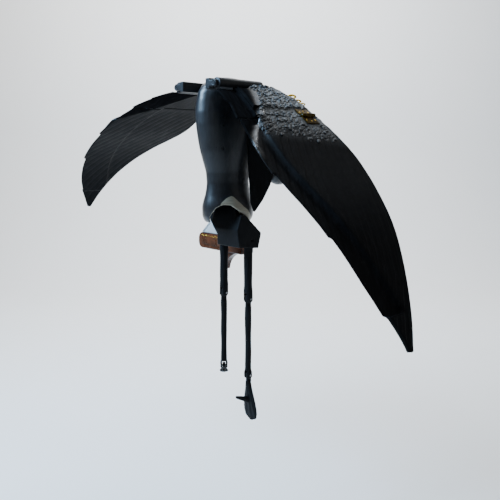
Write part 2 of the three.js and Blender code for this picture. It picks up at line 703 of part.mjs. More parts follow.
for (const [label, side] of sides) {
  const wing = new THREE.Group();
  wing.position.set(side * SHOULDER_OUT, SHOULDER_BACK, SHOULDER_HEIGHT);
  wing.rotation.y = THREE.MathUtils.degToRad(WING_BANK);
  dummy.add(wing);

  const rail = rod(RAIL_RADIUS, 2 * RAIL_HALF_LENGTH, 36);
  const railBore = rod((SHOULDER_PIN + RUN_GAP) / 2, 2 * RAIL_HALF_LENGTH + 10);
  wing.add(named(`shoulder_rail_${label}`, cut(rail, railBore), BLACK_LACQUER));
  const pinLength = 2 * (RAIL_HALF_LENGTH + FIT_GAP + LUG);
  wing.add(named(`shoulder_pin_${label}`, rod(SHOULDER_PIN / 2, pinLength), BLACK_LACQUER));

  const wristIn = WRIST_AT - hingeGap;
  const wristOut = WRIST_AT + hingeGap;
  const mainBack = (along) => back(along) + SHOW;
  const innerWing = board(side, railStart, wristIn, mainBack, front, -BOARD / 2, BOARD / 2);
  wing.add(named(`inner_wing_${label}`, innerWing, BLACK_BOARD));
  const covertBack = (along) => back(along) + SHOW + 6;
  const covertFront = (along) => front(along) - 9;
  const coverts = board(side, railStart + 4, wristIn - 30, covertBack, covertFront, over, over + COVERT);
  wing.add(named(`coverts_${label}`, coverts, GREY_FEATHER));
  feathers(side, railStart + 2, wristIn, 2).forEach((geometry, i) => {
    wing.add(named(`secondary_${i + 1}_${label}`, geometry, BLACK_BOARD));
  });

  const outerEnd = tipStart - hingeGap;
  const outerWing = board(side, wristOut, outerEnd, mainBack, front, -BOARD / 2, BOARD / 2, 20);
  wing.add(named(`outer_wing_${label}`, outerWing, BLACK_BOARD));
  feathers(side, wristOut, outerEnd, 3).forEach((geometry, i) => {
    wing.add(named(`primary_${i + 1}_${label}`, geometry, BLACK_BOARD));
  });
  const tipFeather = board(side, tipStart, WING_LENGTH - 2, back, front, -BOARD / 2, BOARD / 2, 8);
  wing.add(named(`tip_feather_${label}`, tipFeather, BLACK_BOARD));

  wing.add(named(`hinge_leaf_inner_${label}`, hingeLeaf(side, -1), BRASS));
  wing.add(named(`hinge_leaf_outer_${label}`, hingeLeaf(side, 1), BRASS));
  const hingePin = hingeRod(side, HINGE_PIN / 2, -HINGE_WIDTH / 2, HINGE_WIDTH / 2);
  wing.add(named(`hinge_pin_${label}`, hingePin, STEEL));

  // bracket on the body: a plate with two lugs that hold the pin
  const lugOut = RAIL_HALF_LENGTH + FIT_GAP + LUG / 2;
  const plateFace = RAIL_RADIUS + MOVE_GAP;
  const lugs = [-1, 1].map((end) => join(
    rod(RAIL_RADIUS * 0.62, LUG, 28).translate(0, end * lugOut, 0),
    box(plateFace + 1, LUG, RAIL_RADIUS * 1.1, -side * (plateFace + 1) / 2, end * lugOut, 0),
  ));
  const plateThick = SHOULDER_OUT - plateFace - bodyAtShoulder + PLATE_SEAT;
  const plateLength = 2 * (RAIL_HALF_LENGTH + FIT_GAP + LUG);
  const plate = box(plateThick, plateLength, PLATE_HEIGHT, -side * (plateFace + plateThick / 2), 0, 0);
  const bodyHere = bodyLoft(-FIT_GAP).translate(-side * SHOULDER_OUT, -SHOULDER_BACK, -SHOULDER_HEIGHT);
  const pinBore = rod((SHOULDER_PIN + RUN_GAP) / 2, 2 * pinLength);
  const bracket = cut(join(plate, ...lugs), pinBore, bodyHere);
  const place = new THREE.Group();
  place.position.copy(wing.position);
  place.add(named(`shoulder_bracket_${label}`, bracket, BLACK_LACQUER));
  dummy.add(place);
}

// ---------- legs ----------
function legRod(stations, bore) {
  const profile = stations.map(([radius, z]) => new THREE.Vector2(radius, z));
  profile.unshift(new THREE.Vector2(0, stations[0][1]));
  profile.push(new THREE.Vector2(0, stations[stations.length - 1][1]));
  const turned = new THREE.LatheGeometry(profile, 28).rotateX(Math.PI / 2);
  return bore ? cut(turned, ...bore) : turned;
}

function crossBore(z, radius = (LEG_PIN + RUN_GAP) / 2) {
  return rod(radius, 80, 20).rotateZ(Math.PI / 2).translate(0, 0, z);
}

const FORK = 15; // how far a fork reaches round its pin
const TONGUE = 7.4;

for (const [label, side] of sides) {
  const leg = new THREE.Group();
  leg.position.set(side * HIP_OUT, HIP_FORWARD, HIP_HEIGHT);
  dummy.add(leg);
  const knee = -THIGH_LENGTH;
  const fork = box(TONGUE + 2 * MOVE_GAP, 60, 2 * FORK + 4, 0, 0, knee - 2);
  const thigh = legRod([
    [THIGH_RADIUS - 3, -THIGH_LENGTH - 9],
    [THIGH_RADIUS, -THIGH_LENGTH - 4],
    [THIGH_RADIUS, -THIGH_LENGTH + FORK + 6],
    [THIGH_RADIUS - 1, -THIGH_LENGTH + FORK + 18],
    [THIGH_RADIUS - 0.6, -60],
    [THIGH_RADIUS, -24],
    [THIGH_RADIUS, 4],
    [THIGH_RADIUS - 4, THIGH_RADIUS],
  ], [crossBore(0), crossBore(knee), fork]);
  leg.add(named(`thigh_${label}`, thigh, BLACK_BOARD));
  leg.add(named(`knee_pin_${label}`, crossPin(knee, 2 * THIGH_RADIUS - 1), STEEL));
  const neckTop = knee - FORK;
  const ankle = knee - SHANK_LENGTH;
  const tongue = box(TONGUE, 2 * THIGH_RADIUS - 7, 2 * FORK + 2, 0, 0, knee - 7);
  const shankBlank = legRod([
    [SHANK_RADIUS - 1.5, ankle - 8],
    [SHANK_RADIUS + 1.6, ankle - 4],
    [SHANK_RADIUS + 1.6, ankle + 8],
    [SHANK_RADIUS - 0.4, ankle + 14],
    [SHANK_RADIUS - 0.8, ankle + 70],
    [SHANK_RADIUS, neckTop - 20],
    [SHANK_RADIUS, neckTop - 6],
    [SHANK_RADIUS - 2.2, neckTop - 1],
  ]);
  const footTurn = side > 0 ? 0 : LEFT_FOOT_TURN;
  const ankleSlot = box(TONGUE + 2 * MOVE_GAP, 60, 30, 0, 0, ankle - 3).rotateZ(footTurn);
  const ankleBore = crossBore(ankle).rotateZ(footTurn);
  const shank = cut(join(shankBlank, tongue), crossBore(knee), ankleBore, ankleSlot);
  leg.add(named(`shank_${label}`, shank, BLACK_BOARD));
  const foot = new THREE.Group();
  foot.position.set(0, 0, ankle);
  leg.add(foot);
  leg.add(named(`ankle_pin_${label}`, crossPin(ankle, 2 * SHANK_RADIUS).rotateZ(footTurn), STEEL));
  foot.rotation.set(side > 0 ? -RIGHT_FOOT_DROP : -LEFT_FOOT_DROP, 0, footTurn, "ZYX");
  const footShape = side > 0
    ? footSolid(FOOT_LENGTH, FOOT_WIDTH, HIND_TOE)
    : footSolid(STUMP_LENGTH, STUMP_WIDTH, STUMP_TOE);
  foot.add(named(`foot_${label}`, footShape, BLACK_BOARD));
}

// webbed foot: toes along +Y from the ankle pin at the origin, with a short hind toe
function footSolid(length, across, toeLength) {
  const width = through([
    [0, 11],
    [0.18, across * 0.45],
    [0.5, across * 0.86],
    [0.78, across],
    [0.93, across * 0.76],
    [1, across * 0.22],
  ]);
  const thick = through([[0, FOOT_THICK + 3], [0.4, FOOT_THICK], [1, 5]]);
  const heel = 13;
  const web = loft([0, 0.1, 0.22, 0.36, 0.52, 0.68, 0.8, 0.9, 0.96, 1].map((t) => {
    return Array.from({ length: 20 }, (_, i) => {
      const angle = (i / 20) * Math.PI * 2;
      const y = heel + t * (length - heel);
      return [(width(t) / 2) * Math.cos(angle), y, (thick(t) / 2) * Math.sin(angle) - 2];
    });
  }));
  const tongue = box(TONGUE, 24, 13, 0, 6, 0);
  const hindToe = loft([0, 0.3, 0.65, 1].map((t) => Array.from({ length: 12 }, (_, i) => {
    const angle = (i / 12) * Math.PI * 2;
    const radius = 10 - 6.5 * t;
    const y = length * 0.56 - toeLength * 0.55 * t + radius * Math.sin(angle);
    return [radius * 0.7 * Math.cos(angle), y, -1 - toeLength * t];
  })));
  return cut(join(web, tongue, hindToe), crossBore(0));
}

function crossPin(z, length) {
  return rod(LEG_PIN / 2, length, 20).rotateZ(Math.PI / 2).translate(0, 0, z);
}

const hipPin = rod(LEG_PIN / 2, BLOCK_WIDTH - 20, 20).rotateZ(Math.PI / 2);
dummy.add(named("hip_pin", hipPin.translate(0, HIP_FORWARD, HIP_HEIGHT), STEEL));

// ---------- frame ----------
const model = new THREE.Group();
model.name = "bird_dummy";
const mountX = armLeftEnd + 38;
dummy.position.set(-mountX, -(armBack + ARM_DEPTH), -(ARM_TOP - ARM_HEIGHT / 2));
model.add(dummy);
export default model;
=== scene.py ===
"""Looks of the hinged wooden bird dummy: carved lacquered pieces, feather relief, fittings and studio."""

import json
import math

import bmesh
import bpy
import numpy as np
from bpy.props import FloatProperty, FloatVectorProperty, IntProperty, PointerProperty
from mathutils import Matrix, Vector
from mathutils.bvhtree import BVHTree
from mathutils.kdtree import KDTree

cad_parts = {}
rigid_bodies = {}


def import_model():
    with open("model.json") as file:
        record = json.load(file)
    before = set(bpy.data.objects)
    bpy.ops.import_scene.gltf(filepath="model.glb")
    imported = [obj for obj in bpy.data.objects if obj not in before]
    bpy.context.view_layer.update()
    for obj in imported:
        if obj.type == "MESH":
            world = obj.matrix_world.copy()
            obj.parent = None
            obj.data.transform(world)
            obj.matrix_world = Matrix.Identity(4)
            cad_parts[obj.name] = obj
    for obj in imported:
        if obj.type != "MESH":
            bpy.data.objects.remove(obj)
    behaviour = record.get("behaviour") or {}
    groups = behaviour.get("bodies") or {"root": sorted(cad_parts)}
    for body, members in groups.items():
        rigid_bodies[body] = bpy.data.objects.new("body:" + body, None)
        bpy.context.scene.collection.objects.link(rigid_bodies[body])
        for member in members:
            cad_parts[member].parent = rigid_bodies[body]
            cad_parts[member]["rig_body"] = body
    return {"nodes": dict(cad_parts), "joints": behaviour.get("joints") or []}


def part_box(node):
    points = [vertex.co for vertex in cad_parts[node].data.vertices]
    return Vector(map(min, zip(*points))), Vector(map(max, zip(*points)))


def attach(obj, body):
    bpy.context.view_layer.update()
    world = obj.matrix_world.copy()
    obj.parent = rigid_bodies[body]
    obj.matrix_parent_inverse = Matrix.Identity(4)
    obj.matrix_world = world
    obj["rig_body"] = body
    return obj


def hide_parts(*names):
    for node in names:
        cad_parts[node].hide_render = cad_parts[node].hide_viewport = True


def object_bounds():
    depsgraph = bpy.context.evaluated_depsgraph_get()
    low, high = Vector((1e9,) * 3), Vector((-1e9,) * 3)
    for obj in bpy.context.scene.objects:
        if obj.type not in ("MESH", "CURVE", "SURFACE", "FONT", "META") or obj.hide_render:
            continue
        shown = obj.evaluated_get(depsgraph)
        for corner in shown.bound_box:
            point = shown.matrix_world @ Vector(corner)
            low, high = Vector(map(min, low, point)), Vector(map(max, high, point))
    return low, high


bl_info = {
    "name": "Hinged bird dummy",
    "version": (1, 0, 0),
    "blender": (4, 5, 0),
    "location": "3D View > Sidebar > Bird dummy",
    "description": "Carved lacquered wood, feather relief, fittings and studio for a hinged wooden bird",
    "category": "Object",
}

for leftover in list(bpy.data.objects):
    bpy.data.objects.remove(leftover)
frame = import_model()
CAD_LOW, CAD_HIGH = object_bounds()
NODES = frame["nodes"]
JOINTS = {joint["name"]: joint for joint in frame["joints"]}
SIDES = (("right", 1), ("left", -1))
MM = 0.001
VIEW_TURN = math.radians(48)

# the curved lip behind which the wing's down begins: along the wing from the shoulder, and across it
DOWN_ALONG = [v * MM for v in (0, 40, 124, 170, 183, 213, 247, 308)]
DOWN_ACROSS = [v * MM for v in (26, 17, -29, -62, -78, -106, -129, -133)]
LIP_END = 290 * MM
ROOT_CLEAR = 34 * MM

# bare wood on the rump: how high it is looked for, and the band's width across the back opening
RIM_TOP = 56 * MM
BAND_TOP = 80 * MM
BAND_ACROSS = [v * MM for v in (-18, -4, 8, 30, 60)]
BAND_WIDTH = [v * MM for v in (0, 13, 19, 15, 8)]

WEAR_ROUNDS = 2
WEAR_STRENGTH = 9.0
SADDLE_RISE = 21 * MM
CLASP_LOOPS = ((74 * MM, 1.0), (92 * MM, 0.8), (108 * MM, 0.62))
SCREW_PLACES = ((0.16, 0.12), (0.5, 0.22), (0.84, 0.12))

# the camera, level with the shoulders
LENS = 42.3
SENSOR = 36
SHIFT = (0.044, -0.198)
CAMERA_AWAY = 1.5
AIM_OFFSET = Vector((0, 0.03, -0.16))
AIR = (0.97, 0.98, 1, 1)
AIR_STRENGTH = 0.22

# name, place and aim (right, towards the camera, up) in metres from the camera's aim, size, power, tint
LIGHTS = (
    ("window", (-1.35, 0.25, 1.05), (0, 0, 0.12), (0.8, 1.0), 120, (0.45, 0.7, 1.0)),
    ("sky", (-0.2, 0.2, 2.0), (0, 0, 0), (1.6, 1.6), 26, (0.8, 0.9, 1.0)),
    ("fill", (1.8, 1.0, 0.9), (0, 0, 0), (1.2, 1.2), 3, (1.0, 0.95, 0.9)),
    ("wall", (0, -1.4, 2.2), (0, -3.4, 0.2), (3.0, 1.0), 190, (1.0, 1.0, 1.0)),
)

# the backdrop, in metres: how far below the bird, behind the aim, its bend, its height and half its width
FLOOR_DROP = 0.3
WALL_BEHIND = 3.6
WALL_BEND = 1.2
WALL_HEIGHT = 5.0
WALL_HALF = 9.0


# ---------- settings ----------


def colour(label, about, default):
    return FloatVectorProperty(
        name=label, description=about, default=default, subtype="COLOR", size=3, min=0, max=1
    )


def length(label, about, default):
    return FloatProperty(name=label, description=about, default=default, unit="LENGTH", min=0)


class BirdColours(bpy.types.PropertyGroup):
    lacquer: colour("Lacquer", "Black lacquer of body, neck and head", (0.0045, 0.005, 0.006))
    board: colour("Board stain", "Black stain of wings and legs", (0.0034, 0.0035, 0.0038))
    feather_dark: colour("Feather hollow", "Grey feathers in their hollows", (0.012, 0.013, 0.014))
    feather_light: colour("Feather edge", "Grey feathers on their edges", (0.2, 0.21, 0.215))
    rubbed: colour("Rubbed wood", "Wood that shows where the black has worn off", (0.07, 0.058, 0.042))
    bare: colour("Bare wood", "Unpainted rim of the rump", (0.3, 0.27, 0.2))
    varnish: colour("Varnish", "Brown varnish of the arm", (0.085, 0.022, 0.007))
    varnish_dark: colour("Varnish, dark grain", "Dark grain of the arm", (0.016, 0.006, 0.003))
    horn: colour("Horn", "Beak", (0.05, 0.03, 0.016))
    # pale: the gusset plate's pale paint is a painted reflection of a window on the arm's top
    pale: colour("Pale paint", "Paint of the gusset plate", (0.56, 0.56, 0.55))
    brass: colour("Brass", "Hinges at the wrists", (0.72, 0.44, 0.06))
    steel: colour("Steel", "Pins and screws", (0.3, 0.3, 0.31))
    iris: colour("Iris", "Ring round the pupil", (0.42, 0.16, 0.02))
    floor: colour("Floor", "Floor and backdrop", (0.86, 0.86, 0.85))


class BirdSizes(bpy.types.PropertyGroup):
    body_voxel: length("Body grain", "Mesh size of the carved body", 2.2 * MM)
    wing_voxel: length("Wing grain", "Mesh size of the wing boards", 1.9 * MM)
    limb_voxel: length("Leg grain", "Mesh size of legs and feet", 1.0 * MM)
    fine_voxel: length("Fine grain", "Mesh size of the beak and small pieces", 0.8 * MM)
    board_fill: length("Inner corner", "How far the inner corners between lapped boards are filled", 3.2 * MM)
    lip_height: length("Wing lip", "How far the wing falls behind its rounded lip at the shoulder", 7.5 * MM)
    lip_bead: length("Wing lip's bead", "How far the lip is rolled up", 4.5 * MM)
    vane_width: length("Vane width", "Width of one carved wing feather", 24 * MM)
    vane_step: length("Vane step", "Height of the step between carved wing feathers", 0.9 * MM)
    feather_length: length("Covert length", "Length of one small grey feather", 16 * MM)
    feather_width: length("Covert width", "Width of one small grey feather", 8.5 * MM)
    feather_lift: FloatProperty(
        name="Covert lift", description="How far feather tips stand off", default=0.04, subtype="ANGLE"
    )
    feather_seed: IntProperty(name="Covert seed", description="Order of the small feathers' tilts", default=7)
    screw_radius: length("Screw head", "Radius of the hinge screws' heads", 2.1 * MM)


# ---------- meshes ----------


def mesh_from(bm, name):
    mesh = bpy.data.meshes.new(name)
    bm.to_mesh(mesh)
    bm.free()
    return mesh


def merged(meshes, name):
    """One mesh of several, which are removed."""
    bm = bmesh.new()
    for mesh in meshes:
        bm.from_mesh(mesh)
        bpy.data.meshes.remove(mesh)
    return mesh_from(bm, name)


def join_rings(bm, low, high):
    count = len(low)
    for i in range(count):
        bm.faces.new((low[i], low[(i + 1) % count], high[(i + 1) % count], high[i]))


def drop(tree, x, y, height):
    """The surface met first straight down from a height."""
    return tree.ray_cast(Vector((x, y, height)), Vector((0, 0, -1)))


def add_node(tree, kind, **settings):
    made = tree.nodes.new(kind)
    for key, value in settings.items():
        setattr(made, key, value)
    return made


def put(mesh, name):
    piece = bpy.data.objects.new(name, mesh)
    bpy.context.scene.collection.objects.link(piece)
    return piece


def welded(node):
    """A copy of a CAD node's mesh with its loose triangles joined and no stored normals."""
    source = NODES[node].data
    bm = bmesh.new()
    bm.from_mesh(source)
    bmesh.ops.remove_doubles(bm, verts=bm.verts, dist=0.01 * MM)
    bmesh.ops.dissolve_degenerate(bm, edges=bm.edges, dist=0.005 * MM)
    bm.verts.ensure_lookup_table()
    points = [v.co[:] for v in bm.verts]
    faces = [[v.index for v in f.verts] for f in bm.faces]
    bm.free()
    mesh = bpy.data.meshes.new(node)
    mesh.from_pydata(points, [], faces)
    return mesh


def settle(piece):
    """Turns a piece with modifiers into a plain mesh."""
    bpy.context.view_layer.update()
    graph = bpy.context.evaluated_depsgraph_get()
    mesh = bpy.data.meshes.new_from_object(piece.evaluated_get(graph))
    piece.modifiers.clear()
    old = piece.data
    piece.data = mesh
    bpy.data.meshes.remove(old)
    return piece


def even_mesh(piece, voxel):
    remesh = piece.modifiers.new("even mesh", "REMESH")
    remesh.mode = "VOXEL"
    remesh.voxel_size = voxel


def worn_smooth(piece, rounds):
    smooth = piece.modifiers.new("worn edges", "SMOOTH")
    smooth.factor = 0.5
    smooth.iterations = rounds
    settle(piece)
    piece.data.polygons.foreach_set("use_smooth", np.ones(len(piece.data.polygons), bool))
    return piece


def rounded(node, voxel, rounds=4):
    """A carved copy of a CAD node: an even mesh with its edges worn round."""
    piece = put(welded(node), f"{node}_carved")
    even_mesh(piece, voxel)
    return worn_smooth(piece, rounds)


def carved_together(nodes, voxel, fill, rounds):
    """One carved body for several CAD nodes that are glued together, its inner corners filled."""
    name = f"{nodes[0]}_carved"
    piece = put(merged([welded(node) for node in nodes], name), name)
    for swell in (fill, -fill):
        even_mesh(piece, voxel)
        displace = piece.modifiers.new("fill", "DISPLACE")
        displace.strength = swell
        displace.mid_level = 0
    worn_smooth(piece, rounds)
    largest_part(piece.data)
    return piece


def largest_part(mesh):
    """Removes all but the biggest connected body of a mesh."""
    bm = bmesh.new()
    bm.from_mesh(mesh)
    left = set(bm.verts)
    bodies = []
    while left:
        edge = [left.pop()]
        body = set(edge)
        while edge:
            near = {e.other_vert(v) for v in edge for e in v.link_edges} - body
            body |= near
            edge = list(near)
        left -= body
        bodies.append(body)
    bodies.sort(key=len)
    bmesh.ops.delete(bm, geom=[v for body in bodies[:-1] for v in body], context="VERTS")
    bm.to_mesh(mesh)
    bm.free()


def chamfered(node, width, turn=35):
    """A copy of a CAD node with its flat faces whole and its edges broken."""
    piece = put(welded(node), f"{node}_chamfered")
    bm = bmesh.new()
    bm.from_mesh(piece.data)
    bmesh.ops.dissolve_limit(bm, angle_limit=math.radians(1), verts=bm.verts, edges=bm.edges)
    bm.to_mesh(piece.data)
    bm.free()
    bevel = piece.modifiers.new("broken edges", "BEVEL")
    bevel.width = width
    bevel.segments = 2
    bevel.limit_method = "ANGLE"
    bevel.angle_limit = math.radians(turn)
    settle(piece)
    piece.data.shade_smooth()
    piece.data.set_sharp_from_angle(angle=math.radians(turn))
    return piece


def points_of(mesh):
    co = np.empty(len(mesh.vertices) * 3)
    mesh.vertices.foreach_get("co", co)
    return co.reshape(-1, 3)


def normals_of(mesh):
    out = np.empty(len(mesh.vertices) * 3)
    mesh.vertex_normals.foreach_get("vector", out)
    return out.reshape(-1, 3)


def move_to(mesh, co):
    mesh.vertices.foreach_set("co", co.ravel())
    mesh.update()


def carve(piece, depth):
    """Moves each point along its normal by depth(points, normals)."""
    co, out = points_of(piece.data), normals_of(piece.data)
    co += out * depth(co, out)[:, None]
    move_to(piece.data, co)


def write_attribute(mesh, name, values, kind="FLOAT"):
    attribute = mesh.attributes.get(name) or mesh.attributes.new(name, kind, "POINT")
    key = "value" if kind == "FLOAT" else "vector"
    attribute.data.foreach_set(key, np.ascontiguousarray(values, float).ravel())


def write_wear(piece):
    """Stores how far each point stands on an outer edge, for the rubbed finish."""
    mesh = piece.data
    co, out = points_of(mesh), normals_of(mesh)
    ends = np.empty(len(mesh.edges) * 2, int)
    mesh.edges.foreach_get("vertices", ends)
    a, b = ends.reshape(-1, 2).T
    gap = co[b] - co[a]
    size = np.linalg.norm(gap, axis=1) + 1e-9
    bend = np.zeros(len(co))
    count = np.zeros(len(co))
    np.add.at(bend, a, -np.einsum("ij,ij->i", gap, out[a]) / size)
    np.add.at(bend, b, np.einsum("ij,ij->i", gap, out[b]) / size)
    np.add.at(count, a, 1)
    np.add.at(count, b, 1)
    bend /= np.maximum(count, 1)
    for _ in range(WEAR_ROUNDS):
        total = bend.copy()
        np.add.at(total, a, bend[b])
        np.add.at(total, b, bend[a])
        bend = total / (count + 1)
    write_attribute(mesh, "wear", np.clip(bend * WEAR_STRENGTH, 0, 1))


def ripple(co, scale, seed):
    """Smooth waves between -1 and 1 that differ from place to place, like tool marks."""
    rng = np.random.default_rng(seed)
    total = np.zeros(len(co))
    for _ in range(6):
        way = rng.normal(size=3)
        way /= np.linalg.norm(way)
        total += np.sin(co @ way / scale * rng.uniform(0.7, 1.6) + rng.uniform(0, math.tau))
    return total / 3


def wear_in(piece, node, finish, body=None):
    """Gives a finished piece its material and body, and hides the CAD node it stands for."""
    piece.data.materials.clear()
    piece.data.materials.append(finish)
    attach(piece, body or NODES[node]["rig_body"])
    if node:
        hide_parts(node)


def finish_worn(piece, node, finish):
    write_wear(piece)
    wear_in(piece, node, finish)


def dress(node, finish):
    """A CAD node that stays as it is takes a finished material."""
    for place in NODES[node].material_slots:
        place.material = finish


def centre(node):
    low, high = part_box(node)
    return (low + high) / 2


def surface(piece):
    graph = bpy.context.evaluated_depsgraph_get()
    return BVHTree.FromObject(piece, graph)


class WingLine:
    """Lengths along one wing, measured from its shoulder, for points of that wing."""

    def __init__(self, label, side):
        self.side = side
        self.root = Vector(JOINTS[f"shoulder_flap_{label}"]["pos_m"])
        names = [f"inner_wing_{label}", f"outer_wing_{label}", f"tip_feather_{label}"]
        co = np.concatenate([points_of(NODES[name].data) for name in names])
        out = side * (co[:, 0] - self.root.x)
        steps = np.linspace(out.min(), out.max(), 60)
        heights = [co[np.abs(out - s) < (steps[1] - steps[0]), 2].mean() for s in steps]
        self.out = steps
        self.height = np.array(heights)
        pieces = np.hypot(np.diff(steps), np.diff(self.height))
        self.along = steps[0] + np.concatenate([[0], np.cumsum(pieces)])

    def of(self, co):
        """(along, across) for an array of points."""
        out = self.side * (co[:, 0] - self.root.x)
        return np.interp(out, self.out, self.along), co[:, 1] - self.root.y

    def out_at(self, along):
        return float(np.interp(along, self.along, self.out))


# ---------- materials ----------


class Recipe:
    """A material's node tree, built a node at a time."""

    def __init__(self, name):
        self.material = bpy.data.materials.new(name)
        self.material.use_nodes = True
        self.tree = self.material.node_tree
        self.shader = self.tree.nodes["Principled BSDF"]
        self.place = self.node("ShaderNodeTexCoord").outputs["Object"]

    def node(self, kind, **settings):
        return add_node(self.tree, kind, **settings)

    def join(self, source, target):
        self.tree.links.new(source, target)

    def stretched(self, scale, turn=(0, 0, 0), source=None):
        mapping = self.node("ShaderNodeMapping")
        mapping.inputs["Scale"].default_value = scale
        mapping.inputs["Rotation"].default_value = turn
        self.join(source or self.place, mapping.inputs["Vector"])
        return mapping.outputs["Vector"]

    def noise(self, scale, detail=4, rough=0.5, where=None):
        made = self.node("ShaderNodeTexNoise")
        made.inputs["Scale"].default_value = scale
        made.inputs["Detail"].default_value = detail
        made.inputs["Roughness"].default_value = rough
        self.join(where or self.place, made.inputs["Vector"])
        return made.outputs["Fac"]

    def wave(self, scale, distortion, where=None, direction="X", detail=2):
        made = self.node("ShaderNodeTexWave", bands_direction=direction)
        made.inputs["Scale"].default_value = scale
        made.inputs["Distortion"].default_value = distortion
        made.inputs["Detail"].default_value = detail
        self.join(where or self.place, made.inputs["Vector"])
        return made.outputs["Fac"]

    def attribute(self, name, output="Fac"):
        return self.node("ShaderNodeAttribute", attribute_name=name).outputs[output]

    def fit(self, value, low, high, to_low=0.0, to_high=1.0):
        made = self.node("ShaderNodeMapRange")
        for key, number in zip(("From Min", "From Max", "To Min", "To Max"), (low, high, to_low, to_high)):
            made.inputs[key].default_value = number
        self.join(value, made.inputs["Value"])
        return made.outputs["Result"]

    def sum(self, a, b, operation="ADD"):
        made = self.node("ShaderNodeMath", operation=operation)
        for socket, value in zip(made.inputs, (a, b)):
            if isinstance(value, (int, float)):
                socket.default_value = value
            else:
                self.join(value, socket)
        return made.outputs[0]

    def mix(self, amount, first, second):
        made = self.node("ShaderNodeMix", data_type="RGBA")
        self.join(amount, made.inputs["Factor"])
        for key, value in ((6, first), (7, second)):
            if isinstance(value, bpy.types.NodeSocket):
                self.join(value, made.inputs[key])
            else:
                made.inputs[key].default_value = (*value, 1)
        return made.outputs[2]

    def bump(self, *layers):
        """Layers are (height, strength, distance), the first one lowest."""
        last = None
        for height, strength, distance in layers:
            made = self.node("ShaderNodeBump")
            made.inputs["Strength"].default_value = strength
            made.inputs["Distance"].default_value = distance
            self.join(height, made.inputs["Height"])
            if last:
                self.join(last, made.inputs["Normal"])
            last = made.outputs["Normal"]
        self.join(last, self.shader.inputs["Normal"])

    def set(self, **values):
        for key, value in values.items():
            socket = self.shader.inputs[key.replace("_", " ")]
            if isinstance(value, bpy.types.NodeSocket):
                self.join(value, socket)
            else:
                socket.default_value = (*value, 1) if isinstance(value, tuple) else value
        return self.material


def shade(values, factor):
    return tuple(min(1.0, v * factor) for v in values)


def make_black(name, base, rubbed, gloss, grain_scale, rim=None, shine=0.5):
    """Black finish on wood: brushed sheen, faint grain, dust, and wood rubbed bare on outer edges."""
    r = Recipe(name)
    patches = r.noise(14, 6, 0.6)
    grain = r.noise(30, 8, 0.65, r.stretched(grain_scale))
    tone = r.mix(r.fit(patches, 0.35, 0.75), base, shade(base, 2.4))
    streaks = r.mix(r.fit(grain, 0.45, 0.8), tone, shade(base, 3.6))
    chips = r.noise(160, 5, 0.7)
    edge = r.sum(r.attribute("wear"), chips, "MULTIPLY")
    worn = r.fit(edge, 0.52, 0.75, 0.0, 0.7)
    finish = r.mix(worn, streaks, rubbed)
    rough = r.fit(r.sum(patches, r.sum(grain, 0.5, "MULTIPLY")), 0.5, 1.0, gloss[0], gloss[1])
    rough = r.sum(rough, r.sum(worn, 0.3, "MULTIPLY"))
    layers = [(grain, 0.22, 0.5 * MM), (patches, 0.3, 1.2 * MM), (chips, 0.12, 0.2 * MM)]
    if rim:
        bare = r.attribute("rim")
        ring = r.wave(18, 5, r.stretched((1, 1, 6)), "Z")
        wood = r.mix(r.fit(ring, 0.2, 0.9), rim, shade(rim, 0.62))
        edge_of_rim = r.fit(r.sum(bare, r.sum(chips, 0.25, "MULTIPLY")), 0.5, 0.68)
        finish = r.mix(edge_of_rim, finish, wood)
        rough = r.sum(rough, r.sum(edge_of_rim, 0.08, "MULTIPLY"))
    r.bump(*layers)
    return r.set(Base_Color=finish, Roughness=rough, Specular_IOR_Level=shine)


def make_board(name, base, grey):
    """Black stained board: down rubbed grey over the shoulder, satin with fine barbs beyond it."""
    r = Recipe(name)
    vane = r.attribute("vane", "Vector")
    down = r.attribute("down")
    barbs = r.wave(170, 3.5, r.stretched((1, 0.55, 1), (0, 0, 0.6), vane), "X", 3)
    patches = r.noise(16, 6, 0.6)
    streak = r.noise(24, 6, 0.6, r.stretched((1, 5, 1), (0, 0, 0.5), vane))
    flecks = r.noise(110, 6, 0.75, r.stretched((0.6, 1.3, 1), (0, 0, -0.6), vane))
    tone = r.mix(r.fit(patches, 0.3, 0.8), base, shade(base, 1.8))
    tone = r.mix(r.fit(streak, 0.5, 0.85), tone, shade(base, 3.0))
    rubbed = r.sum(r.fit(r.sum(flecks, r.sum(patches, 0.5, "MULTIPLY")), 0.55, 0.95), down, "MULTIPLY")
    finish = r.mix(rubbed, tone, grey)
    lip = r.attribute("lip")
    rough = r.sum(r.fit(r.sum(patches, streak), 0.7, 1.3, 0.42, 0.6), r.sum(down, 0.12, "MULTIPLY"))
    rough = r.sum(rough, r.sum(lip, -0.2, "MULTIPLY"))
    shine = r.sum(r.sum(lip, 0.9, "MULTIPLY"), r.sum(down, 0.22, "MULTIPLY"))
    shine = r.sum(shine, r.fit(r.attribute("hollow"), 0, 0.5, 0.025, 0.0))
    fine = ((flecks, 0.35, 0.6 * MM), (barbs, 0.3, 0.25 * MM))
    r.bump((patches, 0.25, 1.0 * MM), (streak, 0.25, 0.5 * MM), *fine)
    return r.set(Base_Color=finish, Roughness=rough, Specular_IOR_Level=shine)


def make_feather(name, dark, light):
    """Small grey feathers: each paler or darker by its tone, with pale spots and chips and fine barbs."""
    r = Recipe(name)
    tone = r.attribute("tone")
    chips = r.noise(220, 6, 0.75)
    spots = r.noise(70, 4, 0.6)
    barbs = r.wave(300, 6, None, "DIAGONAL", 3)
    pale = r.sum(tone, r.fit(spots, 0.3, 0.75, 0.45, 1.25), "MULTIPLY")
    pale = r.sum(pale, r.fit(chips, 0.3, 0.8, 0.6, 1.2), "MULTIPLY")
    finish = r.mix(r.fit(pale, 0.05, 0.95), dark, light)
    r.bump((spots, 0.3, 0.8 * MM), (barbs, 0.3, 0.2 * MM), (chips, 0.25, 0.2 * MM))
    return r.set(Base_Color=finish, Roughness=r.fit(spots, 0.3, 0.8, 0.48, 0.72), Specular_IOR_Level=0.4)


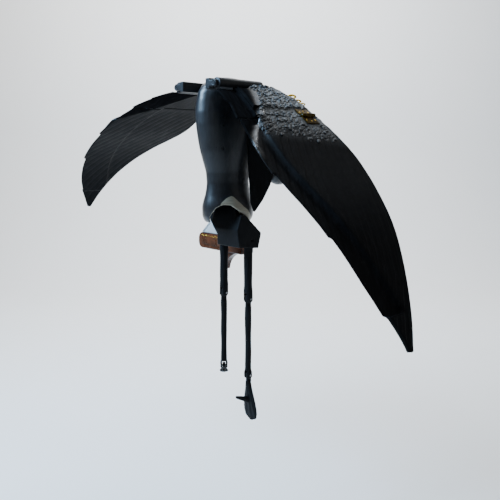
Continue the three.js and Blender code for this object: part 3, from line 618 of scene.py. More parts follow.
def make_varnish(name, light, dark):
    """Brown varnished timber with the grain along it."""
    r = Recipe(name)
    grain_place = r.stretched((1.2, 9, 9))
    rings = r.wave(6, 7, grain_place, "Y", 4)
    fibre = r.noise(60, 8, 0.7, r.stretched((1.5, 22, 22)))
    patches = r.noise(22, 4, 0.6)
    tone = r.mix(r.fit(rings, 0.15, 0.95), dark, light)
    tone = r.mix(r.fit(fibre, 0.4, 0.75), tone, shade(dark, 1.3))
    tone = r.mix(r.fit(patches, 0.45, 0.8), tone, shade(light, 1.9))
    worn = r.fit(r.sum(r.attribute("wear"), fibre, "MULTIPLY"), 0.3, 0.5)
    finish = r.mix(worn, tone, dark)
    r.bump((rings, 0.15, 0.4 * MM), (fibre, 0.3, 0.25 * MM))
    rough = r.fit(patches, 0.3, 0.8, 0.22, 0.4)
    r.set(Coat_Weight=0.12, Coat_Roughness=0.2)
    return r.set(Base_Color=finish, Roughness=rough, Specular_IOR_Level=0.3)


def make_plain_wood(name, light):
    r = Recipe(name)
    rings = r.wave(9, 6, r.stretched((6, 6, 1)), "X", 3)
    fibre = r.noise(50, 8, 0.7, r.stretched((20, 20, 2)))
    tone = r.mix(r.fit(rings, 0.1, 0.9), light, shade(light, 0.6))
    finish = r.mix(r.fit(fibre, 0.45, 0.8), tone, shade(light, 0.45))
    r.bump((fibre, 0.35, 0.3 * MM))
    return r.set(Base_Color=finish, Roughness=r.fit(fibre, 0.3, 0.8, 0.55, 0.8))


# Pale paint for the gusset plate, with brush marks and patches: a painted reflection of a window on the arm's
# top
def make_painted_reflection(name, paint):
    r = Recipe(name)
    patches = r.noise(30, 6, 0.65)
    brush = r.noise(40, 6, 0.7, r.stretched((2, 20, 14), (0, 0.5, 0)))
    tone = r.mix(r.fit(patches, 0.35, 0.75), paint, shade(paint, 0.8))
    finish = r.mix(r.fit(brush, 0.55, 0.85), tone, shade(paint, 0.62))
    r.bump((brush, 0.3, 0.25 * MM), (patches, 0.2, 0.4 * MM))
    return r.set(Base_Color=finish, Roughness=r.fit(patches, 0.3, 0.8, 0.4, 0.62))


def make_metal(name, base, tarnish, rough):
    r = Recipe(name)
    patches = r.noise(60, 6, 0.65)
    scratches = r.noise(120, 5, 0.7, r.stretched((1, 14, 1)))
    tone = r.mix(r.fit(patches, 0.42, 0.72), base, tarnish)
    finish = r.mix(r.fit(scratches, 0.55, 0.8), tone, shade(base, 1.25))
    r.bump((scratches, 0.2, 0.1 * MM), (patches, 0.15, 0.15 * MM))
    return r.set(Base_Color=finish, Metallic=1.0, Roughness=r.fit(patches, 0.3, 0.8, rough, rough + 0.22))


def make_horn(name, base):
    r = Recipe(name)
    fibre = r.noise(40, 7, 0.6, r.stretched((12, 1.5, 12)))
    patches = r.noise(30, 5, 0.6)
    tone = r.mix(r.fit(fibre, 0.35, 0.75), base, shade(base, 0.35))
    finish = r.mix(r.fit(patches, 0.5, 0.8), tone, shade(base, 2.0))
    r.bump((fibre, 0.25, 0.25 * MM))
    r.set(Coat_Weight=0.3, Coat_Roughness=0.2)
    return r.set(Base_Color=finish, Roughness=r.fit(patches, 0.3, 0.8, 0.25, 0.45))


def make_eye(name, iris, middle):
    """Dark glass with a ring of iris round the pupil, seen from the side."""
    r = Recipe(name)
    place = r.node("ShaderNodeVectorMath", operation="SUBTRACT")
    place.inputs[1].default_value = middle
    r.join(r.place, place.inputs[0])
    flat = r.node("ShaderNodeVectorMath", operation="MULTIPLY")
    flat.inputs[1].default_value = (0, 1, 1)
    r.join(place.outputs[0], flat.inputs[0])
    away = r.node("ShaderNodeVectorMath", operation="LENGTH")
    r.join(flat.outputs[0], away.inputs[0])
    streaks = r.noise(900, 3, 0.6)
    ring = r.mix(r.fit(streaks, 0.3, 0.7), iris, shade(iris, 0.4))
    pupil = r.fit(away.outputs["Value"], 1.9 * MM, 2.2 * MM)
    finish = r.mix(pupil, (0.002, 0.002, 0.002), ring)
    rim = r.fit(away.outputs["Value"], 3.9 * MM, 4.4 * MM)
    finish = r.mix(rim, finish, (0.004, 0.003, 0.002))
    r.bump((streaks, 0.03, 0.05 * MM))
    return r.set(Base_Color=finish, Roughness=0.06, Coat_Weight=1.0, Coat_Roughness=0.03)


def make_floor(name, pale):
    r = Recipe(name)
    patches = r.noise(3, 4, 0.5)
    finish = r.mix(r.fit(patches, 0.3, 0.7), pale, shade(pale, 0.985))
    r.bump((r.noise(90, 4, 0.5), 0.05, 0.3 * MM))
    return r.set(Base_Color=finish, Roughness=0.85, Specular_IOR_Level=0.1)


FINISHES = {}


def mix_finishes(colours):
    c = {name: tuple(getattr(colours, name)) for name in BirdColours.__annotations__}
    upright, boards = (9, 9, 1.2), (12, 12, 1.2)
    black = c["lacquer"]
    FINISHES.update(
        lacquer=make_black("black_lacquer_wood", black, c["rubbed"], (0.24, 0.46), upright, c["bare"]),
        satin=make_black("black_satin_wood", black, c["rubbed"], (0.3, 0.5), upright, None, 0.22),
        stain=make_black("black_stained_wood", c["board"], c["rubbed"], (0.42, 0.6), boards, None, 0.06),
        board=make_board("black_feathered_board", c["board"], c["feather_light"]),
        feather=make_feather("grey_carved_feather", c["feather_dark"], c["feather_light"]),
        varnish=make_varnish("brown_varnished_wood", c["varnish"], c["varnish_dark"]),
        wood=make_plain_wood("bare_sawn_wood", c["bare"]),
        # the gusset's pale paint is a painted reflection of a window
        pale=make_painted_reflection("pale_painted_wood", c["pale"]),
        brass=make_metal("yellow_brass", c["brass"], shade(c["brass"], 0.42), 0.24),
        aged=make_metal("aged_brass", shade(c["brass"], 0.09), shade(c["brass"], 0.03), 0.45),
        steel=make_metal("plain_steel", c["steel"], shade(c["steel"], 0.5), 0.3),
        horn=make_horn("dark_horn", c["horn"]),
    )


# ---------- repeats made with geometry nodes ----------


SCATTER_INPUTS = (
    ("Points", "Geometry"),
    ("Shape", "Object"),
    ("Length", "Float"),
    ("Width", "Float"),
    ("Disorder", "Float"),
    ("Seed", "Int"),
)


def scatter_tree(name, finish):
    """Copies of a shape on points, turned by the points' own angles with a little disorder."""
    tree = bpy.data.node_groups.new(name, "GeometryNodeTree")
    for label, kind in SCATTER_INPUTS:
        tree.interface.new_socket(label, in_out="INPUT", socket_type=f"NodeSocket{kind}")
    tree.interface.new_socket("Result", in_out="OUTPUT", socket_type="NodeSocketGeometry")
    start, end = add_node(tree, "NodeGroupInput"), add_node(tree, "NodeGroupOutput")
    shape = add_node(tree, "GeometryNodeObjectInfo")
    turn = add_node(tree, "GeometryNodeInputNamedAttribute", data_type="FLOAT_VECTOR")
    turn.inputs["Name"].default_value = "turn"
    size = add_node(tree, "GeometryNodeInputNamedAttribute", data_type="FLOAT")
    size.inputs["Name"].default_value = "size"
    chance = add_node(tree, "FunctionNodeRandomValue", data_type="FLOAT_VECTOR")
    chance.inputs["Min"].default_value = (-1, -1, -1)
    chance.inputs["Max"].default_value = (1, 1, 1)
    amount = add_node(tree, "ShaderNodeVectorMath", operation="SCALE")
    total = add_node(tree, "ShaderNodeVectorMath")
    angle = add_node(tree, "FunctionNodeEulerToRotation")
    stretch = add_node(tree, "ShaderNodeCombineXYZ")
    scale = add_node(tree, "ShaderNodeVectorMath", operation="SCALE")
    place = add_node(tree, "GeometryNodeInstanceOnPoints")
    real = add_node(tree, "GeometryNodeRealizeInstances")
    paint = add_node(tree, "GeometryNodeSetMaterial")
    paint.inputs["Material"].default_value = finish
    links = (
        (start, "Shape", shape, "Object"),
        (start, "Seed", chance, "Seed"),
        (chance, 0, amount, 0),
        (start, "Disorder", amount, "Scale"),
        (turn, 0, total, 0),
        (amount, 0, total, 1),
        (total, 0, angle, 0),
        (start, "Width", stretch, 0),
        (start, "Length", stretch, 1),
        (start, "Width", stretch, 2),
        (stretch, 0, scale, 0),
        (size, 0, scale, "Scale"),
        (start, "Points", place, "Points"),
        (shape, "Geometry", place, "Instance"),
        (angle, 0, place, "Rotation"),
        (scale, 0, place, "Scale"),
        (place, 0, real, 0),
        (real, 0, paint, 0),
        (paint, 0, end, 0),
    )
    for source, output, target, entry in links:
        tree.links.new(source.outputs[output], target.inputs[entry])
    return tree


def scattered(name, places, shape, sizes, disorder, seed, finish):
    """One plain mesh of copies of shape. places are (point, angles, size, tone)."""
    mesh = bpy.data.meshes.new(name)
    mesh.from_pydata([p[0] for p in places], [], [])
    write_attribute(mesh, "turn", [p[1] for p in places], "FLOAT_VECTOR")
    write_attribute(mesh, "size", [p[2] for p in places])
    write_attribute(mesh, "tone", [p[3] for p in places])
    piece = put(mesh, name)
    tree = scatter_tree(f"{name} copies", finish)
    modifier = piece.modifiers.new("copies", "NODES")
    modifier.node_group = tree
    values = {"Shape": shape, "Length": sizes[0], "Width": sizes[1], "Disorder": disorder, "Seed": seed}
    for item in tree.interface.items_tree:
        if item.in_out == "INPUT" and item.name in values:
            modifier[item.identifier] = values[item.name]
    settle(piece)
    bpy.data.node_groups.remove(tree)
    return piece


def feather_shape():
    """One small feather of unit length and width: pointed, arched, with a shaft down its middle."""
    stations = [(0, 0.25), (0.12, 0.7), (0.35, 0.98), (0.6, 0.95), (0.82, 0.62), (0.95, 0.28), (1, 0.06)]
    points, faces = [], []
    for t, wide in stations:
        lift = 0.07 * math.sin(t * math.pi)
        half = wide / 2
        ring = [(-half, -0.02), (-half * 0.5, 0.05), (0, 0.11), (half * 0.5, 0.05), (half, -0.02), (0, -0.03)]
        points += [(x, t, z + lift) for x, z in ring]
    around = 6
    for i in range(len(stations) - 1):
        for j in range(around):
            k = (j + 1) % around
            faces.append((i * around + j, i * around + k, (i + 1) * around + k, (i + 1) * around + j))
    faces.append(tuple(range(around))[::-1])
    faces.append(tuple(range((len(stations) - 1) * around, len(stations) * around)))
    mesh = bpy.data.meshes.new("feather shape")
    mesh.from_pydata(points, [], faces)
    outward(mesh)
    mesh.shade_smooth()
    return put(mesh, "feather shape")


def screw_shape():
    """A slotted screw head of unit radius, its slot along X."""
    bm = bmesh.new()
    around = 20
    rings = [(1.0, -0.35), (1.0, 0.0), (0.86, 0.16), (0.45, 0.26)]
    made = []
    turns = np.linspace(0, math.tau, around, endpoint=False)
    for radius, z in rings:
        made.append([bm.verts.new((radius * math.cos(a), radius * math.sin(a), z)) for a in turns])
    for low, high in zip(made, made[1:]):
        join_rings(bm, low, high)
    bm.faces.new(made[0][::-1])
    bm.faces.new(made[-1])
    slot = bmesh.ops.create_cube(bm, size=1.0)
    bmesh.ops.scale(bm, vec=(1.5, 0.2, 0.1), verts=slot["verts"])
    bmesh.ops.translate(bm, vec=(0, 0, 0.26), verts=slot["verts"])
    mesh = mesh_from(bm, "screw shape")
    outward(mesh)
    return put(mesh, "screw shape")


def outward(mesh):
    bm = bmesh.new()
    bm.from_mesh(mesh)
    bmesh.ops.recalc_face_normals(bm, faces=bm.faces)
    bm.to_mesh(mesh)
    bm.free()


def angles_for(up, along):
    """Euler angles that put a shape's Z on up and its Y as near along as it goes."""
    z = up.normalized()
    y = (along - z * along.dot(z)).normalized()
    x = y.cross(z)
    return Matrix((x, y, z)).transposed().to_euler()


# ---------- operators ----------


class BIRD_OT_body(bpy.types.Operator):
    """Carve the lacquered body, rump, neck and head"""

    bl_idname = "bird.body"
    bl_label = "Body, rump, neck and head"

    def execute(self, context):
        sizes = context.scene.bird_sizes
        body = carved_together(["back_shell", "belly_shell", "rump"], sizes.body_voxel, 1.0 * MM, 8)
        self.mark_rim(body)
        self.round_rump(body)
        carve(body, lambda co, out: 0.3 * MM * ripple(co, 9 * MM, 3))
        finish_worn(body, "back_shell", FINISHES["lacquer"])
        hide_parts("belly_shell")
        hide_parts("rump")
        neck = rounded("neck", 1.7 * MM, 8)
        carve(neck, lambda co, out: 0.4 * MM * ripple(co, 7 * MM, 5))
        finish_worn(neck, "neck", FINISHES["lacquer"])
        head = rounded("head", 1.2 * MM, 3)
        carve(head, lambda co, out: 0.2 * MM * ripple(co, 5 * MM, 6))
        finish_worn(head, "head", FINISHES["lacquer"])
        self.beak(sizes)
        return {"FINISHED"}

    def round_rump(self, piece):
        """The rump swells a little at its middle and draws in at its lower edge."""
        low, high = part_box("rump")
        middle = (low + high) / 2
        co = points_of(piece.data)
        up = co[:, 2] - low.z
        swell = 0.05 * np.exp(-(((up - 42 * MM) / (24 * MM)) ** 2))
        draw = 0.12 * np.clip(1 - up / (20 * MM), 0, 1) ** 2
        scale = (1 + swell - draw)[:, None]
        centre_line = np.array((middle.x, middle.y))
        co[:, :2] = centre_line + (co[:, :2] - centre_line) * scale
        move_to(piece.data, co)

    def mark_rim(self, piece):
        """The cut edge round the rump's openings is bare wood, and so is a band above the back opening."""
        source = welded("rump")
        low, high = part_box("rump")
        middle = (low + high) / 2
        half = (high - low) / 2
        bm = bmesh.new()
        bm.from_mesh(source)
        tree = BVHTree.FromBMesh(bm)
        bm.free()
        bpy.data.meshes.remove(source)
        co = points_of(piece.data)
        across = Vector((math.cos(VIEW_TURN), math.sin(VIEW_TURN), 0))
        bare = np.zeros(len(co))
        cut = []
        for i, (x, y, z) in enumerate(co):
            if z > low.z + RIM_TOP:
                continue
            _, normal, _, _ = tree.find_nearest((x, y, z))
            radial = Vector(((x - middle.x) / half.x**2, (y - middle.y) / half.y**2, 0)).normalized()
            if abs(normal.dot(radial)) < 0.72:
                bare[i] = 1
                cut.append(i)
        edge = KDTree(len(cut))
        for i in cut:
            edge.insert(co[i], i)
        edge.balance()
        outward_way = normals_of(piece.data) @ np.array((across.y, -across.x, 0))
        place = (co - np.array(middle)) @ np.array(across)
        wide = np.interp(place, BAND_ACROSS, BAND_WIDTH)
        in_band = (outward_way > 0.15) & (wide > 0) & (bare == 0) & (co[:, 2] < low.z + BAND_TOP)
        for i in np.flatnonzero(in_band):
            away = edge.find(co[i])[2]
            bare[i] = np.clip(1 - (away - wide[i]) / (5 * MM), 0, 1)
        write_attribute(piece.data, "rim", bare)

    def beak(self, sizes):
        piece = rounded("beak", sizes.fine_voxel, 3)
        low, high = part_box("beak")
        head_low, head_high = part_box("head")
        base = (head_low + head_high) / 2
        tip = Vector((base.x, high.y, low.z))
        line = (tip - base).normalized()

        def gape(co, out):
            offset = co - np.array(base)
            height = offset @ np.array((0, -line.z, line.y)) - 1.2 * MM
            return -0.9 * MM * np.exp(-((height / (0.9 * MM)) ** 2)) * np.clip(np.abs(out[:, 0]) * 2, 0, 1)

        carve(piece, gape)
        finish_worn(piece, "beak", FINISHES["horn"])


class BIRD_OT_wings(bpy.types.Operator):
    """Carve the wing boards and the feather boards behind them"""

    bl_idname = "bird.wings"
    bl_label = "Wing boards"

    def execute(self, context):
        sizes = context.scene.bird_sizes
        for label, side in SIDES:
            line = WingLine(label, side)
            inner = ["inner_wing", "coverts", "secondary_1", "secondary_2"]
            outer = ["outer_wing", "primary_1", "primary_2", "primary_3", "tip_feather"]
            self.board([f"{part}_{label}" for part in inner], line, 1.35 * MM, sizes)
            self.board([f"{part}_{label}" for part in outer], line, sizes.wing_voxel, sizes)
            flank = rounded(f"flank_{label}", 1.4 * MM, 4)
            co = points_of(flank.data)
            write_attribute(flank.data, "vane", np.stack([co[:, 2], co[:, 1], co[:, 0]], 1), "FLOAT_VECTOR")
            for name in ("down", "lip", "hollow"):
                write_attribute(flank.data, name, np.zeros(len(co)))
            finish_worn(flank, f"flank_{label}", FINISHES["board"])
        return {"FINISHED"}

    def spare_wood(self, piece):
        """How deep each point may sink and leave a sound board under it."""
        mesh = piece.data
        tree = surface(piece)
        spare = np.zeros(len(mesh.vertices))
        for i, (place, normal) in enumerate(zip(points_of(mesh), normals_of(mesh))):
            start = Vector(place - normal * 0.2 * MM)
            _, _, _, through = tree.ray_cast(start, Vector(-normal))
            spare[i] = max(0.0, (through or 0.0) - 4 * MM)
        return spare

    def board(self, nodes, line, voxel, sizes):
        """One wing board with its lapped feathers, carved from one surface."""
        piece = carved_together(nodes, voxel, sizes.board_fill, 14)
        along, across = line.of(points_of(piece.data))
        down = downy(along, across)
        width = sizes.vane_width
        spare = self.spare_wood(piece)

        def vanes(co, out):
            place = (across + 0.42 * along + 6 * MM * ripple(co, 60 * MM, 14)) / width
            part = place - np.floor(place)
            step = sizes.vane_step * (part - 0.5)
            shaft = 0.55 * sizes.vane_step * np.exp(-(((part - 0.5) / 0.05) ** 2))
            flat = np.abs(out[:, 1]) < 0.6
            smooth = (step + shaft - 0.6 * MM) * flat * (1 - down)
            tufts = np.clip(out[:, 2], 0, 1) * down * tufted(along, across)
            top = np.clip(out[:, 2] * 2, 0, 1)
            fall = np.minimum(sizes.lip_height * hollow(along, across), spare)
            clear = np.clip((along - ROOT_CLEAR) / ROOT_CLEAR, 0, 1)
            bead = sizes.lip_bead * lip_gloss(along, across) * clear
            return smooth + tufts + (bead - fall) * top + 0.2 * MM * ripple(co, 11 * MM, 8)

        carve(piece, vanes)
        write_attribute(piece.data, "vane", np.stack([along, across, 0 * along], 1), "FLOAT_VECTOR")
        top = np.clip(normals_of(piece.data)[:, 2] * 3, 0, 1)
        write_attribute(piece.data, "down", down * top)
        write_attribute(piece.data, "lip", lip_gloss(along, across) * top)
        write_attribute(piece.data, "hollow", hollow(along, across))
        finish_worn(piece, nodes[0], FINISHES["board"])
        for node in nodes[1:]:
            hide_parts(node)


def from_lip(along, across):
    """How far a place lies in front of the lip, negative behind it."""
    return across - np.interp(along, DOWN_ALONG, DOWN_ACROSS)


def downy(along, across):
    """How downy a wing is at a place: full over the shoulder, gone further out and behind the lip."""
    outward = np.clip((265 * MM - along + 0.15 * across) / (150 * MM), 0, 1)
    return eased(outward) * np.clip(from_lip(along, across) / (12 * MM), 0, 1)


def hollow(along, across):
    """The wing's root falls away behind the lip."""
    behind = eased(np.clip((2 * MM - from_lip(along, across)) / (12 * MM), 0, 1))
    return behind * eased(np.clip((LIP_END - along) / (60 * MM), 0, 1))


def lip_gloss(along, across):
    """The rounded lip is rubbed glossy."""
    ends = np.clip((LIP_END - along) / (40 * MM), 0, 1)
    return ends * np.exp(-(((from_lip(along, across) - 2 * MM) / (9 * MM)) ** 2))


def eased(t):
    return t * t * (3 - 2 * t)


def tufted(along, across):
    """Heights of the rough tufts carved over the shoulder."""
    place = np.stack([along, across, 0 * along], 1)
    rows = np.sin((across + 0.35 * along) / (3.1 * MM) + 2.2 * ripple(place, 14 * MM, 21))
    breaks = ripple(place, 4.5 * MM, 22)
    return (0.75 * rows + 0.9 * breaks) * MM


class BIRD_OT_feathers(bpy.types.Operator):
    """Lay the rows of small grey feathers over the shoulders"""

    bl_idname = "bird.feathers"
    bl_label = "Shoulder feathers"

    def execute(self, context):
        sizes = context.scene.bird_sizes
        shape = feather_shape()
        for label, side in SIDES:
            line = WingLine(label, side)
            wrist = Vector(JOINTS[f"wrist_lift_{label}"]["pos_m"])
            reach = float(np.interp(side * (wrist.x - line.root.x), line.out, line.along))
            spans = (("inner", 20 * MM, reach - 4 * MM), ("outer", reach + 6 * MM, reach + 88 * MM))
            for part, start, end in spans:
                self.rows(f"{part}_wing", label, line, shape, start, end, sizes)
        bpy.data.objects.remove(shape)
        return {"FINISHED"}

    def rows(self, part, label, line, shape, start, end, sizes):
        tree = surface(bpy.data.objects[f"{part}_{label}_carved"])
        low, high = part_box(f"{part}_{label}")
        rng = np.random.default_rng(sizes.feather_seed)
        places = []
        pitch_along = sizes.feather_width * 0.8
        pitch_across = sizes.feather_length * 0.36
        rows = int((high.y - low.y) / pitch_across)
        for row in range(rows, -1, -1):
            y = low.y + row * pitch_across
            steps = int((end - start) / pitch_along)
            for step in range(steps + 1):
                along = start + (step + 0.5 * (row % 2)) * pitch_along + rng.normal() * 1.4 * MM
                place_y = y + rng.normal() * 1.6 * MM
                x = line.root.x + line.side * line.out_at(along)
                down = float(downy(np.array(along), np.array(place_y - line.root.y)))
                if along > end or down < rng.uniform(0.05, 0.3) or near_hinge(label, x, place_y):
                    continue
                hit, normal, _, _ = drop(tree, x, place_y, high.z + 0.05)
                beside = drop(tree, x, place_y + 17 * MM, high.z + 0.05)
                if hit is None or normal.z < 0.55 or beside[0] is None or beside[0].z < low.z:
                    continue
                tone = np.clip(0.62 * down**1.4 + rng.normal() * 0.15 * down, 0.01, 1.0)
                way = Vector((line.side * (0.75 + 0.2 * rng.normal()), -1, 0))
                lift = Matrix.Rotation(sizes.feather_lift, 3, "X")
                turn = (angles_for(normal, way).to_matrix() @ lift).to_euler()
                places.append((hit - normal * 0.55 * MM, turn[:], rng.uniform(0.7, 1.15), tone))
        name = f"{part}_feathers_{label}"
        lengths = (sizes.feather_length, sizes.feather_width)
        piece = scattered(name, places, shape, lengths, 0.07, sizes.feather_seed, FINISHES["feather"])
        wear_in(piece, None, FINISHES["feather"], f"{part}_body_{label}")


def near_hinge(label, x, y):
    """Whether a place lies on or beside the brass leaves of a wrist."""
    margin = 5 * MM
    for part in ("inner", "outer"):
        low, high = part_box(f"hinge_leaf_{part}_{label}")
        if low.x - margin < x < high.x + margin and low.y - margin < y < high.y + margin:
            return True
    return False


class BIRD_OT_legs(bpy.types.Operator):
    """Turn and scuff the legs, carve the feet, and shape the block that carries them"""

    bl_idname = "bird.legs"
    bl_label = "Legs and block"

    def execute(self, context):
        sizes = context.scene.bird_sizes
        block = rounded("hip_block", 1.6 * MM, 3)
        self.raise_saddle(block)
        carve(block, lambda co, out: 0.2 * MM * ripple(co, 10 * MM, 9))
        finish_worn(block, "hip_block", FINISHES["stain"])
        for label, _ in SIDES:
            for node in (f"thigh_{label}", f"shank_{label}"):
                piece = rounded(node, sizes.limb_voxel, 4)
                carve(piece, lambda co, out: 0.3 * MM * ripple(co * np.array((1, 1, 0.6)), 5 * MM, 10))
                finish_worn(piece, node, FINISHES["stain"])
            self.foot(label, sizes)
        return {"FINISHED"}

    def raise_saddle(self, piece):
        """The block's top swells up inside the rump and closes the view through it."""
        low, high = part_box("hip_block")
        middle = (low + high) / 2
        co = points_of(piece.data)
        sideways = co[:, 0] - middle.x
        back = co[:, 1] - low.y
        place = sideways * math.cos(VIEW_TURN) + (back - 24 * MM) * math.sin(VIEW_TURN)
        inside = eased(np.clip((46 * MM - np.abs(sideways)) / (12 * MM), 0, 1))
        inside *= eased(np.clip((34 * MM - place) / (24 * MM), 0, 1))
        rise = eased(np.clip((co[:, 2] - high.z + 34 * MM) / (30 * MM), 0, 1))
        co[:, 2] += SADDLE_RISE * rise * inside
        move_to(piece.data, co)

    def foot(self, label, sizes):
        """Three toes stand out of the web, with shallow hollows between them."""
        piece = rounded(f"foot_{label}", sizes.limb_voxel, 4)
        ankle = np.array(JOINTS[f"ankle_bend_{label}"]["pos_m"])
        low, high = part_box(f"foot_{label}")
        reach = (Vector(centre(f"foot_{label}")) - Vector(ankle)).normalized()
        joint_axis = Vector(JOINTS[f"ankle_bend_{label}"]["axis"]).normalized()
        webbed = (high - low).length > 80 * MM

        def toes(co, out):
            offset = co - ankle
            forward = offset @ np.array(reach)
            sideways = offset @ np.array(joint_axis)
            fan = sideways / np.maximum(forward, 12 * MM)
            ridges = sum(np.exp(-(((fan - at) / 0.05) ** 2)) for at in (-0.17, 0.0, 0.17))
            held = np.clip((forward - 22 * MM) / (20 * MM), 0, 1)
            return held * (0.9 * ridges - 0.9) * MM * webbed + 0.15 * MM * ripple(co, 5 * MM, 11)

        carve(piece, toes)
        finish_worn(piece, f"foot_{label}", FINISHES["stain"])


class BIRD_OT_arm(bpy.types.Operator):
    """Make the varnished arm, its corbel and the gusset plate, whose pale paint is a painted reflection of a
    window
    """

    bl_idname = "bird.arm"
    bl_label = "Arm and gusset"

    def execute(self, context):
        for node, voxel in (("support_arm", 1.5 * MM), ("arm_corbel", 1.2 * MM)):
            piece = rounded(node, voxel, 3)
            carve(piece, lambda co, out: 0.15 * MM * ripple(co, 9 * MM, 12))
            finish_worn(piece, node, FINISHES["varnish"])
        # the gusset plate is a real part; its pale paint is a painted reflection of a window
        gusset = chamfered("gusset_plate", 0.6 * MM)
        wear_in(gusset, "gusset_plate", FINISHES["pale"])
        self.lines()
        self.inlay()
        return {"FINISHED"}

    def lines(self):
        """Two thin dark lines along the gusset's sloping edge."""
        low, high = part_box("gusset_plate")
        foot = Vector((low.x, low.y, low.z))
        peak = Vector(((low.x + high.x) / 2, low.y, high.z))
        bm = bmesh.new()
        for inset in (5 * MM, 9 * MM):
            shift = Vector((inset, 0, 0))
            slope = (peak - foot).normalized()
            end = peak + shift - slope * (4 * MM + inset)
            strip(bm, foot + shift + slope * 2 * MM, end, 0.9 * MM, 0.3 * MM)
        mesh = mesh_from(bm, "gusset_lines")
        outward(mesh)
        piece = put(mesh, "gusset_lines")
        wear_in(piece, None, FINISHES["stain"], "torso")

    def inlay(self):
        """A thin brass wire let into the arm, in loose curls along its upper edge."""
        low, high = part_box("support_arm")
        points = []
        for i in range(90):
            t = i / 89
            x = low.x + 12 * MM + t * 70 * MM
            z = high.z - 8 * MM + 2.2 * MM * math.sin(t * 31) * (0.6 + 0.4 * math.sin(t * 9))
            points.append((x, low.y + 0.1 * MM, z))
        piece = put(tube("arm_inlay", [Vector(p) for p in points], 0.55 * MM, 8), "arm_inlay")
        wear_in(piece, None, FINISHES["brass"], "torso")


def strip(bm, a, b, width, thick):
    """A thin bar from a to b on a face that looks towards -Y."""
    way = (b - a).normalized()
    across = way.cross(Vector((0, 1, 0))).normalized() * width / 2
    corners = []
    for y in (-thick, thick):
        for end in (a, b):
            for sign in (-1, 1):
                corners.append(bm.verts.new(end + across * sign + Vector((0, y, 0))))
    for quad in ((0, 1, 3, 2), (4, 6, 7, 5), (0, 4, 5, 1), (2, 3, 7, 6), (0, 2, 6, 4), (1, 5, 7, 3)):
        bm.faces.new([corners[i] for i in quad])


def tube(name, points, radius, around, closed=False):
    """Round wire along points, its ends capped, or joined where it is closed."""
    bm = bmesh.new()
    rings = []
    count = len(points)
    middle = sum(points, Vector()) / count
    turns = np.linspace(0, math.tau, around, endpoint=False)
    for i, p in enumerate(points):
        if closed:
            way = (points[(i + 1) % count] - points[i - 1]).normalized()
            x = (p - middle).normalized()
        else:
            way = (points[min(i + 1, count - 1)] - points[max(i - 1, 0)]).normalized()
            x = way.cross(Vector((0, 1, 0))).normalized()
        y = way.cross(x).normalized()
        rings.append([bm.verts.new(p + (x * math.cos(t) + y * math.sin(t)) * radius) for t in turns])
    for low, high in zip(rings, rings[1:]):
        join_rings(bm, low, high)
    if closed:
        join_rings(bm, rings[-1], rings[0])
    else:
        bm.faces.new(rings[0])
        bm.faces.new(rings[-1][::-1])
    mesh = mesh_from(bm, name)
    outward(mesh)
    mesh.shade_smooth()
    return mesh


class BIRD_OT_fittings(bpy.types.Operator):
    """Finish hinges, pins, brackets and eyes, and set the screws"""

    bl_idname = "bird.fittings"
    bl_label = "Hinges, pins and eyes"

    def execute(self, context):
        sizes = context.scene.bird_sizes
        iris = tuple(context.scene.bird_colours.iris)
        shape = screw_shape()
        for label, side in SIDES:
            for part in ("inner", "outer"):
                node = f"hinge_leaf_{part}_{label}"
                leaf = chamfered(node, 0.35 * MM)
                wear_in(leaf, node, FINISHES["aged"])
                tipwards = side if part == "outer" else -side
                self.leaf_screws(node, leaf, tipwards, shape, sizes, f"{part}_wing_body_{label}")
            rail = chamfered(f"shoulder_rail_{label}", 1.2 * MM)
            wear_in(rail, f"shoulder_rail_{label}", FINISHES["satin"])
            bracket = rounded(f"shoulder_bracket_{label}", 1.3 * MM, 6)
            finish_worn(bracket, f"shoulder_bracket_{label}", FINISHES["satin"])
            dress(f"shoulder_pin_{label}", FINISHES["satin"])
            for node in ("hinge_pin", "knee_pin", "ankle_pin"):
                dress(f"{node}_{label}", FINISHES["steel"])
            self.clasp(label, side)
            eye = make_eye(f"eye_glass_{label}", iris, centre(f"eye_{label}"))
            dress(f"eye_{label}", eye)
        for node in ("hip_pin", "arm_screw_1", "arm_screw_2"):
            dress(node, FINISHES["steel"])
        for node in ("spine_post", "shoulder_beam", "neck_dowel"):
            dress(node, FINISHES["wood"])
        bpy.data.objects.remove(shape)
        return {"FINISHED"}

    def clasp(self, label, side):
        """Small brass loops that clip over the leading edge of the inner wing."""
        line = WingLine(label, side)
        tree = surface(bpy.data.objects[f"inner_wing_{label}_carved"])
        name = f"wing_clasp_{label}"
        loops = []
        for along, size in CLASP_LOOPS:
            x = line.root.x + side * line.out_at(along)
            tries = np.arange(40, 170, 2) * MM
            edge = max(v for v in tries if drop(tree, x, line.root.y + v, 1)[0])
            hit = drop(tree, x, line.root.y + edge - 7 * MM, 1)[0]
            points = []
            for turn in np.linspace(0, math.tau, 25)[:-1]:
                round_x, round_y = side * 8.5 * math.cos(turn), 5.0 * math.cos(turn)
                points.append(hit + Vector((round_x, round_y, 4.0 * math.sin(turn) + 2.2)) * size * MM)
            loops.append(tube("loop", points, 3.4 * size * MM, 10, closed=True))
        piece = put(merged(loops, name), name)
        wear_in(piece, None, FINISHES["brass"], f"inner_wing_body_{label}")

    def leaf_screws(self, node, leaf, tipwards, shape, sizes, body):
        tree = surface(leaf)
        low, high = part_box(node)
        places = []
        for i, (share, outward_share) in enumerate(SCREW_PLACES):
            x = centre(node).x + tipwards * outward_share * (high.x - low.x)
            y = low.y + share * (high.y - low.y)
            hit, normal, _, _ = drop(tree, x, y, high.z + 0.05)
            if hit is None:
                raise RuntimeError(f"no face for a screw on {node}")
            turn = angles_for(normal, Vector((math.cos(i * 2.1), math.sin(i * 2.1), 0)))
            places.append((hit, turn[:], 1.0, 1.0))
        name = f"{node}_screws"
        radii = (sizes.screw_radius, sizes.screw_radius)
        piece = scattered(name, places, shape, radii, 0.0, 1, FINISHES["brass"])
        wear_in(piece, None, FINISHES["brass"], body)


